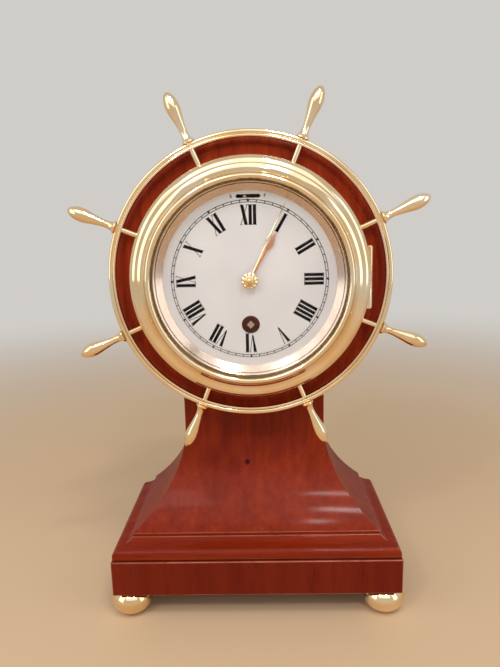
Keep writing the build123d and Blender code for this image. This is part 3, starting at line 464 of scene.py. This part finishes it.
foot_side = [(radius, foot_belly_height - rise)
             for radius, rise in half_bun(foot_sole_radius, foot_belly_height)[::-1]]
foot_side += [(radius, foot_belly_height + rise)
              for radius, rise in half_bun(foot_top_radius, foot_height - foot_belly_height)[1:]]
for name in ("foot_front_left", "foot_front_right", "foot_back_left", "foot_back_right"):
    low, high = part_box(name)
    foot_mesh = turned(name, [(0, 0), *foot_side, (0, foot_height)], steps=96)
    foot_mesh.transform(Matrix.Translation(((low.x + high.x) / 2, (low.y + high.y) / 2, 0))
                        @ Matrix.Rotation(math.pi / 2, 4, "X"))
    crisp(finished(foot_mesh, "Turned_" + name, brass, "stand", [name]))

# Plaque: the turned mahogany disc behind the wheel, with a quirk and a quarter round at its edge.
# Its bore takes the drum, and its flat back rests on the pillar.
rim_low, rim_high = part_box("wheel_rim")
clock_place = Matrix.Translation((0, (rim_low.y + rim_high.y) / 2, (rim_low.z + rim_high.z) / 2))
wheel_y = clock_place.translation.y
plaque_low, plaque_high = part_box("plaque")
plaque_radius = plaque_high.x
plaque_face = plaque_low.y - wheel_y
plaque_back = plaque_high.y - wheel_y
plaque_flat_radius = 0.077
plaque_quirk_width = 0.0009
plaque_quirk_depth = 0.0014
plaque_arris = 0.0002
plaque_bore = 0.0613
plaque_round_start = plaque_flat_radius + plaque_quirk_width
plaque_round = plaque_radius - plaque_round_start
plaque_step = plaque_face + plaque_quirk_depth
plaque_line = [(plaque_bore, plaque_back), (plaque_bore, plaque_face), (plaque_flat_radius, plaque_face),
               (plaque_flat_radius, plaque_step), (plaque_round_start, plaque_step)]
for step in range(1, round_steps + 1):
    angle = math.radians(90 * step / round_steps)
    plaque_line.append((plaque_round_start + plaque_round * math.sin(angle),
                        plaque_step + plaque_round * (1 - math.cos(angle))))
plaque_line += [(plaque_radius, plaque_back), (plaque_bore, plaque_back)]
plaque_mesh = turned("Plaque", plaque_line)
plaque_mesh.transform(clock_place)
# Its colours are lighter and redder than the stand's, painted light that makes up for the shade of the wheel
# in which it lies, and it is less glossy.
plaque_grain_painted_lighter = mahogany("French-polished mahogany, painted lighter against shade", standing, dark="#741f0b", light="#a03712",
                        polish=0.03)
eased(finished(plaque_mesh, "Plaque", plaque_grain_painted_lighter, "stand", ["plaque"]), plaque_arris)

# Wheel rim: a brass ring with a broad and a narrow bead on its face and a fine groove between them.
# It was turned and polished, and the spindles pass through it.
rim_outer = rim_high.x
rim_inner = 0.0805
rim_groove = 0.0817
broad_bow, narrow_bow = 0.0007, 0.00016
rim_half_depth = (rim_high.y - rim_low.y) / 2
rim_spring = broad_bow - rim_half_depth
rim_line = bowed((rim_inner, rim_spring), (rim_groove, rim_spring), narrow_bow, steps=12)
rim_line += bowed((rim_groove, rim_spring), (rim_outer, rim_spring), broad_bow, steps=24)[1:]
rim_line += [(rim_outer, rim_half_depth), (rim_inner, rim_half_depth), (rim_inner, rim_spring)]
rim_mesh = turned("Wheel_rim", rim_line, steps=640)
rim_mesh.transform(clock_place)
crisp(finished(rim_mesh, "Wheel_rim", brass, "stand", ["wheel_rim"]))


# Spindles: eight spokes and turned handles, each turned from one bar.
# They pass through the rim with a small collar outside it, and stand in the case wall.
def ring_of_copies():
    """a tree that stands copies of a piece in a ring about the clock's axis"""
    tree = bpy.data.node_groups.new("Ring of copies", "GeometryNodeTree")
    tree.interface.new_socket("Piece", in_out="INPUT", socket_type="NodeSocketGeometry")
    tree.interface.new_socket("Count", in_out="INPUT", socket_type="NodeSocketInt")
    tree.interface.new_socket("Start angle", in_out="INPUT", socket_type="NodeSocketFloat")
    tree.interface.new_socket("Material", in_out="INPUT", socket_type="NodeSocketMaterial")
    tree.interface.new_socket("Ring", in_out="OUTPUT", socket_type="NodeSocketGeometry")
    given = add(tree, "NodeGroupInput")
    points = add(tree, "GeometryNodePoints", {"Count": given.outputs["Count"]})
    number = add(tree, "GeometryNodeInputIndex")
    pitch = add(tree, "ShaderNodeMath", {0: 2 * math.pi, 1: given.outputs["Count"]}, operation="DIVIDE")
    turn = add(tree, "ShaderNodeMath", {0: number.outputs[0], 1: pitch.outputs[0],
                                        2: given.outputs["Start angle"]}, operation="MULTIPLY_ADD")
    rotation = add(tree, "ShaderNodeCombineXYZ", {"Y": turn.outputs[0]})
    copies = add(tree, "GeometryNodeInstanceOnPoints", {
        "Points": points.outputs[0], "Instance": given.outputs["Piece"], "Rotation": rotation.outputs[0]})
    real = add(tree, "GeometryNodeRealizeInstances", {"Geometry": copies.outputs[0]})
    painted = add(tree, "GeometryNodeSetMaterial",
                  {"Geometry": real.outputs[0], "Material": given.outputs["Material"]})
    add(tree, "NodeGroupOutput", {"Ring": painted.outputs[0]})
    return tree


ring_tree = ring_of_copies()


def ringed(unit_mesh, count, start_angle, material):
    """the plain mesh of a ring of copies of one piece, in its place on the clock"""
    holder = bpy.data.objects.new("Ring", unit_mesh)
    bpy.context.scene.collection.objects.link(holder)
    modifier = holder.modifiers.new("Ring", "NODES")
    modifier.node_group = ring_tree
    sockets = {item.name: item.identifier for item in ring_tree.interface.items_tree}
    modifier[sockets["Count"]] = count
    modifier[sockets["Start angle"]] = start_angle
    modifier[sockets["Material"]] = material
    evaluated = holder.evaluated_get(bpy.context.evaluated_depsgraph_get())
    made = bpy.data.meshes.new_from_object(evaluated)
    bpy.data.objects.remove(holder)
    made.transform(clock_place)
    return made


spindle_count = 8
first_spindle_angle = math.radians(-23.2)
spoke_radius = 0.0016
spoke_start = 0.0592
collar_radius = 0.0039
collar_end = rim_outer + 0.0009
belly_radius = 0.0042
handle_reach = 0.1144
# Shares of the handle's length and of its belly's radius, from the collar to the tip.
handle_line = [(0.0, 0.92), (0.03, 0.76), (0.07, 0.63), (0.12, 0.55), (0.19, 0.52), (0.28, 0.57), (0.38, 0.67),
               (0.48, 0.79), (0.57, 0.91), (0.64, 0.98), (0.7, 1.0), (0.77, 0.97), (0.84, 0.87), (0.9, 0.72),
               (0.95, 0.52), (0.98, 0.33), (1.0, 0.0)]


def smooth_line(points, steps):
    """points along a smooth curve through the given ones"""
    made = []
    for place in range(len(points) - 1):
        before = points[max(place - 1, 0)]
        start, end = points[place], points[place + 1]
        after = points[min(place + 2, len(points) - 1)]
        for step in range(steps):
            t = step / steps
            made.append(tuple(0.5 * (2 * b + (c - a) * t + (2 * a - 5 * b + 4 * c - d) * t ** 2
                                     + (3 * b - a - 3 * c + d) * t ** 3)
                              for a, b, c, d in zip(before, start, end, after)))
    return made + [points[-1]]


spindle_line = [(0, spoke_start), (spoke_radius, spoke_start), (spoke_radius, rim_outer),
                (collar_radius, rim_outer), (collar_radius, collar_end)]
spindle_line += [(max(radius, 0) * belly_radius, collar_end + share * (handle_reach - collar_end))
                 for share, radius in smooth_line(handle_line, 4)]
spindle_mesh = turned("Spindle", spindle_line, steps=40)
spindle_mesh.transform(Matrix.Rotation(-math.pi / 2, 4, "Z"))
spindles_mesh = ringed(spindle_mesh, spindle_count, first_spindle_angle, brass)
spindle_nodes = [f"spindle_{number + 1}" for number in range(spindle_count)]
crisp(finished(spindles_mesh, "Spindles", brass, "stand", spindle_nodes))

# Case: the turned brass drum with its bezel seat and the flange that is screwed to the plaque.
# Only its outside and the dial well show, so the drum's bore is left plain.
case_radius = 0.061
case_bore = 0.0584
flange_radius = 0.071
flange_thickness = 0.0025
seat_face = -0.010
seat_radius = 0.0683
seat_thickness = 0.0028
seat_cove = 0.002
spigot_radius = 0.0602
spigot_front = -0.0152
case_back = 0.0221
case_back_wall = 0.0016
cove_steps = 8
case_floor = case_back - case_back_wall
flange_front = plaque_face - flange_thickness
seat_back = seat_face + seat_thickness
case_line = [(case_bore, case_floor), (case_bore, spigot_front), (spigot_radius, spigot_front),
             (spigot_radius, seat_face), (seat_radius, seat_face), (seat_radius, seat_back)]
for step in range(cove_steps + 1):
    angle = math.radians(90 * step / cove_steps)
    case_line.append((case_radius + seat_cove * (1 - math.sin(angle)),
                      seat_back + seat_cove * (1 - math.cos(angle))))
case_line += [(case_radius, flange_front), (flange_radius, flange_front), (flange_radius, plaque_face),
              (case_radius, plaque_face), (case_radius, case_back), (0, case_back), (0, case_floor),
              (case_bore, case_floor)]


def hinge_notch(near, far):
    """the block that is cut away where the hinge stands"""
    length, inner, outer = 0.0368, 0.0666, 0.0705
    bm = bmesh.new()
    bmesh.ops.create_cube(bm, size=1)
    block = closed_mesh(bm, "Notch")
    block.transform(clock_place @ Matrix.Translation(((inner + outer) / 2, (near + far) / 2, 0))
                    @ Matrix.Diagonal((outer - inner, far - near, length, 1)))
    return block


def notched(piece_mesh, near, far):
    """a mesh with the hinge's block cut away"""
    body = bpy.data.objects.new("Cut", piece_mesh)
    block = bpy.data.objects.new("Block", hinge_notch(near, far))
    for each in (body, block):
        bpy.context.scene.collection.objects.link(each)
    cut = body.modifiers.new("Notch", "BOOLEAN")
    cut.operation = "DIFFERENCE"
    cut.solver = "EXACT"
    cut.object = block
    evaluated = body.evaluated_get(bpy.context.evaluated_depsgraph_get())
    made = bpy.data.meshes.new_from_object(evaluated)
    bpy.data.objects.remove(body)
    bpy.data.objects.remove(block)
    return made


case_mesh = turned("Case", case_line, steps=256)
case_mesh.transform(clock_place)
notch_spare = 0.001
case_mesh = notched(case_mesh, seat_face - notch_spare, seat_back + notch_spare)
crisp(finished(case_mesh, "Case", brass, "stand", ["case"]))

# Bezel: the cast and turned ring, with a bead round the glass, a broad cove and a rounded rim.
# It is the brightest brass on the clock, polished all over.
bezel_lip_radius = 0.0544
front_lip_radius = 0.0556
bead_width = 0.003
bead_rise = 0.0011
bezel_front = -0.0232
cove_end = (0.064, -0.0172)
cove_hollow = 0.0012
bezel_rim = (0.0694, -0.0122)
rim_bulge = 0.0015
bezel_back = -0.0101
bezel_notch_front = -0.0137
glass_front = -0.0215
glass_radius = 0.05735
skirt_radius = 0.06055
skirt_front = -0.0155
bead_end = (front_lip_radius + bead_width, bezel_front)
bezel_line = [(bezel_lip_radius, glass_front), (front_lip_radius, bezel_front)]
bezel_line += bowed((front_lip_radius, bezel_front), bead_end, bead_rise, steps=20)[1:]
bezel_line += bowed(bead_end, cove_end, -cove_hollow, steps=20)[1:]
bezel_line += bowed(cove_end, bezel_rim, rim_bulge, steps=20)[1:]
bezel_line += [(bezel_rim[0], bezel_back), (skirt_radius, bezel_back), (skirt_radius, skirt_front),
               (glass_radius, skirt_front), (glass_radius, glass_front), (bezel_lip_radius, glass_front)]
bezel_mesh = turned("Bezel", bezel_line, steps=512)
bezel_mesh.transform(clock_place)
bezel_mesh = notched(bezel_mesh, bezel_notch_front, bezel_back + notch_spare)
bezel = finished(bezel_mesh, "Bezel", brass, "bezel", ["bezel"])
crisp(bezel)
# The lip's inner wall is given dark brass, a painted shade that shows as a thin dark ring round the glass.
painted_shade_brass = polished_brass("Brass painted dark with shade", colour="#7a6240", pale="#8c734c", roughness=0.3)
bezel.data.materials.append(painted_shade_brass)
for polygon in bezel.data.polygons:
    middle = polygon.center - clock_place.translation
    if math.hypot(middle.x, middle.z) < front_lip_radius and middle.y < glass_front:
        polygon.material_index = 1

# Glass: a flat clear disc behind the bezel's lip. Its CAD disc is right and only gets its finish.
# Clear glass has faint reflections and lets the light through to the dial.
clear_glass, tree, glass_shader = new_material("Clear glass")
wire(tree, glass_shader, {"Base Color": linear("#fbfdfc"), "Roughness": 0.02, "IOR": 1.5,
                          "Transmission Weight": 1.0, "Alpha": 0.1})
frame["nodes"]["glass"].data.materials.clear()
frame["nodes"]["glass"].data.materials.append(clear_glass)

# Reflector: the polished ring that slopes from the glass down to the dial, with a fine line cut near its top.
# It mirrors the dial's edge, so its face is cut straight.
dial_face = -0.013
reflector_inner = 0.050
reflector_edge = -0.0136
cut_inner, cut_middle, cut_outer = (0.0537, -0.01641), (0.0539, -0.0162), (0.0541, -0.01672)
reflector_top = -0.0174
top_inner, top_outer = 0.055, 0.0566
ring_foot_front = -0.015
ring_foot_outer = 0.0581
reflector_line = [(reflector_inner, dial_face), (reflector_inner, reflector_edge), cut_inner, cut_middle,
                  cut_outer, (top_inner, reflector_top), (top_outer, reflector_top),
                  (top_outer, ring_foot_front), (ring_foot_outer, ring_foot_front),
                  (ring_foot_outer, dial_face), (reflector_inner, dial_face)]
reflector_mesh = turned("Reflector", reflector_line, steps=256)
reflector_mesh.transform(clock_place)
# It is seen through the glass and mirrors the dial; its colour is painted paler and less yellow than the
# case's, a painted reflection of the dial.
mirror_brass = polished_brass("Mirror-polished brass", colour="#cdb5a4", pale="#d6c2b2", roughness=0.13,
                              polishing_marks=0.001)
reflector = finished(reflector_mesh, "Reflector", mirror_brass, "stand", ["reflector"])
crisp(reflector)
# The fine cut takes the dark brass, a painted shade in the groove.
reflector.data.materials.append(painted_shade_brass)
for polygon in reflector.data.polygons:
    middle = polygon.center - clock_place.translation
    if cut_inner[0] < math.hypot(middle.x, middle.z) < cut_outer[0]:
        polygon.material_index = 1

# Dial: a silvered brass plate with a satin finish, brushed in one direction and lacquered.
# Its CAD plate is right, and the numerals and minute circle are laid on it in black.
# The brushing is drawn coarser than the real few hundredths of a millimetre, and softens the reflections.
brushing_mm = (0.7143, 0.7143, 16.67)
cast_mm = 45.45
silvered, tree, dial_shader = new_material("Silvered brass, satin lacquered")
dial_space = add(tree, "ShaderNodeTexCoord").outputs["Object"]
brushed_space = add(tree, "ShaderNodeMapping",
                    {"Vector": dial_space, "Scale": tuple(1000 / pitch for pitch in brushing_mm)})
brushing = add(tree, "ShaderNodeTexNoise", {"Vector": brushed_space.outputs[0], "Scale": 1.0, "Detail": 4.0})
cast = add(tree, "ShaderNodeTexNoise", {"Vector": dial_space, "Scale": 1000 / cast_mm, "Detail": 2.0})
silver_tone = add(tree, "ShaderNodeValToRGB", {"Fac": cast.outputs[0]})
silver_stops = ((0.35, "#dddadd"), (0.65, "#e7e5e5"))
for element, (position, colour) in zip(silver_tone.color_ramp.elements, silver_stops):
    element.position, element.color = position, linear(colour)
satin = add(tree, "ShaderNodeMapRange", {"Value": brushing.outputs[0], "From Min": 0.3, "From Max": 0.7,
                                         "To Min": 0.3, "To Max": 0.42})
dial_bump = add(tree, "ShaderNodeBump", {"Height": brushing.outputs[0], "Strength": 0.05, "Distance": 0.0001})
wire(tree, dial_shader, {"Base Color": silver_tone.outputs[0], "Roughness": satin.outputs[0],
                         "Normal": dial_bump.outputs[0], "Metallic": 0.35})
frame["nodes"]["dial"].data.materials.clear()
frame["nodes"]["dial"].data.materials.append(silvered)

# Black enamel: soft black, a little glossy, with a faint grain.
enamel_mm = 1.1111
black, tree, enamel_shader = new_material("Black dial enamel")
enamel_space = add(tree, "ShaderNodeTexCoord")
enamel_grain = add(tree, "ShaderNodeTexNoise",
                   {"Vector": enamel_space.outputs["Object"], "Scale": 1000 / enamel_mm, "Detail": 2.0})
enamel_tone = add(tree, "ShaderNodeValToRGB", {"Fac": enamel_grain.outputs[0]})
enamel_tone.color_ramp.elements[0].color = linear("#090606")
enamel_tone.color_ramp.elements[1].color = linear("#171011")
wire(tree, enamel_shader, {"Base Color": enamel_tone.outputs[0], "Roughness": 0.4, "Specular IOR Level": 0.1})

ink = 0.00004
minutes_round, hours_round = 60, 12
circle_radii = (0.0437, 0.0450)
circle_width = 0.0004


def laid(bm, corners, front=dial_face - ink, back=dial_face):
    """a flat patch of enamel with the given corners of width and height, standing on the dial"""
    near = [bm.verts.new((x, front, z)) for x, z in corners]
    far = [bm.verts.new((x, back, z)) for x, z in corners]
    bm.faces.new(near)
    bm.faces.new(far[::-1])
    for place in range(len(corners)):
        after = (place + 1) % len(corners)
        bm.faces.new((near[place], far[place], far[after], near[after]))


for number, radius in enumerate(circle_radii):
    half = circle_width / 2
    inner, outer = radius - half, radius + half
    circle_line = [(inner, dial_face), (inner, dial_face - ink), (outer, dial_face - ink), (outer, dial_face),
                   (inner, dial_face)]
    circle_mesh = turned("Minute_circle", circle_line, steps=256)
    circle_mesh.transform(clock_place)
    finished(circle_mesh, f"Minute_circle_{number + 1}", black, "stand")

tick_half = 0.00024
bm = bmesh.new()
laid(bm, [(-tick_half, circle_radii[0]), (tick_half, circle_radii[0]), (tick_half, circle_radii[1]),
          (-tick_half, circle_radii[1])])
ticks_mesh = ringed(closed_mesh(bm, "Tick"), minutes_round, 0.0, black)
finished(ticks_mesh, "Minute_ticks", black, "stand")

marker_half = 0.00072
marker_middle = 0.0447
marker_sides = 8
marker_angles = [2 * math.pi * corner / marker_sides for corner in range(marker_sides)]
bm = bmesh.new()
laid(bm, [(marker_half * math.sin(angle), marker_middle + marker_half * math.cos(angle))
          for angle in marker_angles], front=dial_face - 1.5 * ink)
markers_mesh = ringed(closed_mesh(bm, "Marker"), hours_round, 0.0, black)
finished(markers_mesh, "Five_minute_marks", black, "stand")

# Numerals: Roman, radial, with their feet to the centre, drawn with broad and fine strokes and thin serifs.
numeral_foot = 0.0311
numeral_height = 0.0112
broad_stroke = 0.00185
fine_stroke = 0.00034
serif_height = 0.00028
serif_reach = 0.0002
crossing_share = 0.55
sole_share = 0.09
letter_widths = {"I": 0.00245, "V": 0.0045, "X": 0.0046}


def letter(kind, left):
    """the strokes of one letter as corner lists, standing on height zero from its left edge"""
    width = letter_widths[kind]
    top = numeral_height
    if kind == "I":
        middle = left + width / 2
        half = broad_stroke / 2
        return [[(middle - half, 0), (middle + half, 0), (middle + half, top), (middle - half, top)],
                [(left, 0), (left + width, 0), (left + width, serif_height), (left, serif_height)],
                [(left, top - serif_height), (left + width, top - serif_height), (left + width, top),
                 (left, top)]]
    near, far = left + serif_reach, left + width - serif_reach
    if kind == "V":
        point = left + width * crossing_share
        sole = numeral_height * sole_share
        strokes = [[(near, top), (point - fine_stroke, sole), (point + fine_stroke, sole),
                    (near + broad_stroke, top)],
                   [(far - fine_stroke, top), (point, sole), (point + fine_stroke, sole), (far, top)]]
        feet = []
    else:
        strokes = [[(near, top), (far - broad_stroke, 0), (far, 0), (near + broad_stroke, top)],
                   [(far - fine_stroke, top), (near, 0), (near + fine_stroke, 0), (far, top)]]
        feet = [(left, near + 2 * broad_stroke / 3), (far - broad_stroke - serif_reach, left + width)]
    heads = [(left, near + broad_stroke + serif_reach), (far - broad_stroke / 2, left + width)]
    for start, end in heads:
        strokes.append([(start, top - serif_height), (end, top - serif_height), (end, top), (start, top)])
    for start, end in feet:
        strokes.append([(start, 0), (end, 0), (end, serif_height), (start, serif_height)])
    return strokes


numerals = ("XII", "I", "II", "III", "IIII", "V", "VI", "VII", "VIII", "IX", "X", "XI")
bm = bmesh.new()
for hour, numeral in enumerate(numerals):
    left = -sum(letter_widths[kind] for kind in numeral) / 2
    turn = 2 * math.pi * hour / hours_round
    for kind in numeral:
        for corners in letter(kind, left):
            laid(bm, [(x * math.cos(turn) + (z + numeral_foot) * math.sin(turn),
                       (z + numeral_foot) * math.cos(turn) - x * math.sin(turn)) for x, z in corners])
        left += letter_widths[kind]
numerals_mesh = closed_mesh(bm, "Numerals")
numerals_mesh.transform(clock_place)
finished(numerals_mesh, "Numerals", black, "stand")

# Regulator letters: a small S and F at the ends of the slot, for slow and fast.
# They are printed in black like the numerals.
regulator_height = 0.0460
regulator_size = 0.0028
regulator_weight = 0.00004
for word, place in (("S", -0.0096), ("F", 0.0094)):
    text = bpy.data.curves.new(word, "FONT")
    text.body = word
    text.size = regulator_size
    text.offset = regulator_weight
    text.align_x = "CENTER"
    text.extrude = ink / 2
    holder = bpy.data.objects.new(word, text)
    bpy.context.scene.collection.objects.link(holder)
    evaluated = holder.evaluated_get(bpy.context.evaluated_depsgraph_get())
    text_mesh = bpy.data.meshes.new_from_object(evaluated)
    bpy.data.objects.remove(holder)
    text_mesh.transform(clock_place @ Matrix.Translation((place, dial_face - ink / 2, regulator_height))
                        @ Matrix.Rotation(math.pi / 2, 4, "X"))
    finished(text_mesh, "Regulator_" + word, black, "stand")

# Hands: gilt brass, ridged along their length, on the hour wheel's and cannon pinion's pipes.
# The minute hand is a long lance, and the hour hand has a broad lozenge near its tip.
# The minute hand's gilt is pale and bright, and the hour hand's is a soft rose, a painted warm reflection.
gilt = polished_brass("Gilt brass", colour="#edd2a4", pale="#f6e6c8", roughness=0.12)
rose_reflection_gilt = polished_brass("Gilt brass, painted with a warm reflection", colour="#e69a7c", pale="#efb296", roughness=0.2)
hour_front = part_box("hour_hand")[0].y - wheel_y
minute_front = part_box("minute_hand")[0].y - wheel_y
hour_angle, minute_angle = 30.2, 25.8
hand_thickness = 0.0006
hand_edge = 0.55 * hand_thickness
hub_round = 0.0003
hour_hub, hour_bore = 0.004, 0.00255
minute_hub, minute_bore = 0.0034, 0.00165
# Half width, and distance from the centre.
hour_line = [(0.0007, 0.0030), (0.0006, 0.0195), (0.0020, 0.0240), (0.00012, 0.0309)]
minute_line = [(0.0005, 0.0025), (0.0006, 0.0205), (0.0013, 0.0243), (0.00065, 0.0285), (0.0005, 0.034),
               (0.00032, 0.0427), (0.00012, 0.048)]


def hand(name, hub, bore, widths, face, angle):
    """a hand with a ridge along its back, from pairs of half width and distance along it"""
    bm = bmesh.new()
    back = face + hand_thickness
    edge = face + hand_edge
    rows = [(bm.verts.new((-half, back, z)), bm.verts.new((-half, edge, z)), bm.verts.new((0, face, z)),
             bm.verts.new((half, edge, z)), bm.verts.new((half, back, z))) for half, z in widths]
    for below, above in zip(rows, rows[1:]):
        for side in range(4):
            bm.faces.new((below[side], below[side + 1], above[side + 1], above[side]))
        bm.faces.new((below[4], below[0], above[0], above[4]))
    bm.faces.new(rows[0])
    bm.faces.new(rows[-1])
    blade = closed_mesh(bm, name)
    ring = turned(name + "_hub", [(bore, back), (bore, face), (hub - hub_round, face), (hub, face + hub_round),
                                  (hub, back), (bore, back)], steps=64)
    bm = bmesh.new()
    bm.from_mesh(blade)
    bm.from_mesh(ring)
    bpy.data.meshes.remove(ring)
    bm.to_mesh(blade)
    bm.free()
    blade.transform(clock_place @ Matrix.Rotation(math.radians(angle), 4, "Y"))
    blade.shade_flat()
    return blade


hour_mesh = hand("Hour_hand", hour_hub, hour_bore, hour_line, hour_front, hour_angle)
finished(hour_mesh, "Hour_hand", rose_reflection_gilt, "hour_work", ["hour_hand"])
minute_mesh = hand("Minute_hand", minute_hub, minute_bore, minute_line, minute_front, minute_angle)
finished(minute_mesh, "Minute_hand", gilt, "minute_work", ["minute_hand"])

# Hand boss: the gilt rosette that holds the minute hand, with petals milled round its dome.
# Each petal catches the light by itself.
boss_low, boss_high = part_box("hand_collet")
boss_radius = boss_high.x
boss_front = boss_low.y - wheel_y
boss_back = boss_high.y - wheel_y
petals = 10
petal_start, petal_run = 0.2, 0.75
petal_step = 0.0003
petal_depth = 0.0011
petal_waist = 0.05
dome_share = 0.92
dome_rise = 0.0013
around, across = 144, 14
bm = bmesh.new()
rings = []
for ring in range(1, across + 1):
    share = ring / across
    fall = (1 - math.sqrt(1 - (share * dome_share) ** 2)) / (1 - math.sqrt(1 - dome_share ** 2))
    swell = math.sin(math.pi * min(1, max(0, share - petal_start) / petal_run))
    row = []
    for step in range(around):
        angle = 2 * math.pi * step / around
        flute = 1 - abs(math.sin(petals * angle / 2))
        depth = boss_front + dome_rise * fall + petal_depth * flute * swell
        if share > petal_start:
            depth += petal_step
        reach = boss_radius * share * (1 - petal_waist * flute * share)
        row.append(bm.verts.new((reach * math.cos(angle), depth, reach * math.sin(angle))))
    rings.append(row)
crown = bm.verts.new((0, boss_front, 0))
base = [bm.verts.new((vertex.co.x, boss_back, vertex.co.z)) for vertex in rings[-1]]
for step in range(around):
    after = (step + 1) % around
    bm.faces.new((crown, rings[0][step], rings[0][after]))
    for one, two in zip(rings, rings[1:] + [base]):
        bm.faces.new((one[step], two[step], two[after], one[after]))
bm.faces.new(base)
boss_mesh = closed_mesh(bm, "Hand_boss")
boss_mesh.transform(clock_place)
finished(boss_mesh, "Hand_boss", gilt, "minute_work", ["hand_collet"])


# Hinge: two small brass leaves and a headed pin at three o'clock.
# They are merged copies of their CAD solids, so that their knuckles are smooth.
def smoothed(node, material, body):
    """a merged and smoothed copy of a CAD node, standing for it"""
    bm = bmesh.new()
    bm.from_mesh(frame["nodes"][node].data)
    crisp(finished(closed_mesh(bm, node + "_smooth"), "Smooth_" + node, material, body, [node]))


smoothed("hinge_leaf_case", brass, "stand")
smoothed("hinge_pin", brass, "stand")
smoothed("hinge_leaf_bezel", brass, "bezel")

# Movement and hidden pieces: brushed brass plates and wheels, and blued or polished steel.
# They are sealed in the drum, so their CAD solids stay, with a fitting finish.
# Brushed brass is painted dull and dark brown, a painted shade for the dark inside of the drum; steel is
# bright and grey; and the darkest steel is painted nearly black, also as painted shade.
movement_brass = polished_brass("Brushed movement brass, painted dark with shade", colour="#6b4426", pale="#7d5431", roughness=0.3,
                                polishing_marks=0.15)
steel = polished_brass("Polished steel", colour="#b8a49c", pale="#d0beb6", roughness=0.22)
shade_painted_steel = polished_brass("Steel painted dark with shade", colour="#5c3226", pale="#6c3c2c", roughness=0.3)
for part in frame["record"]["subparts"]:
    node = frame["nodes"][part["node"]]
    if node.hide_render or part["node"] in ("dial", "glass"):
        continue
    finish = {"steel": steel, "movement_brass": movement_brass}.get(part["material_slot"], brass)
    # The ratchet wheel, click and index stud take the nearly black steel, a painted shade.
    if part["node"] in ("ratchet_wheel", "click", "index_stud"):
        finish = shade_painted_steel
    node.data.materials.clear()
    node.data.materials.append(finish)
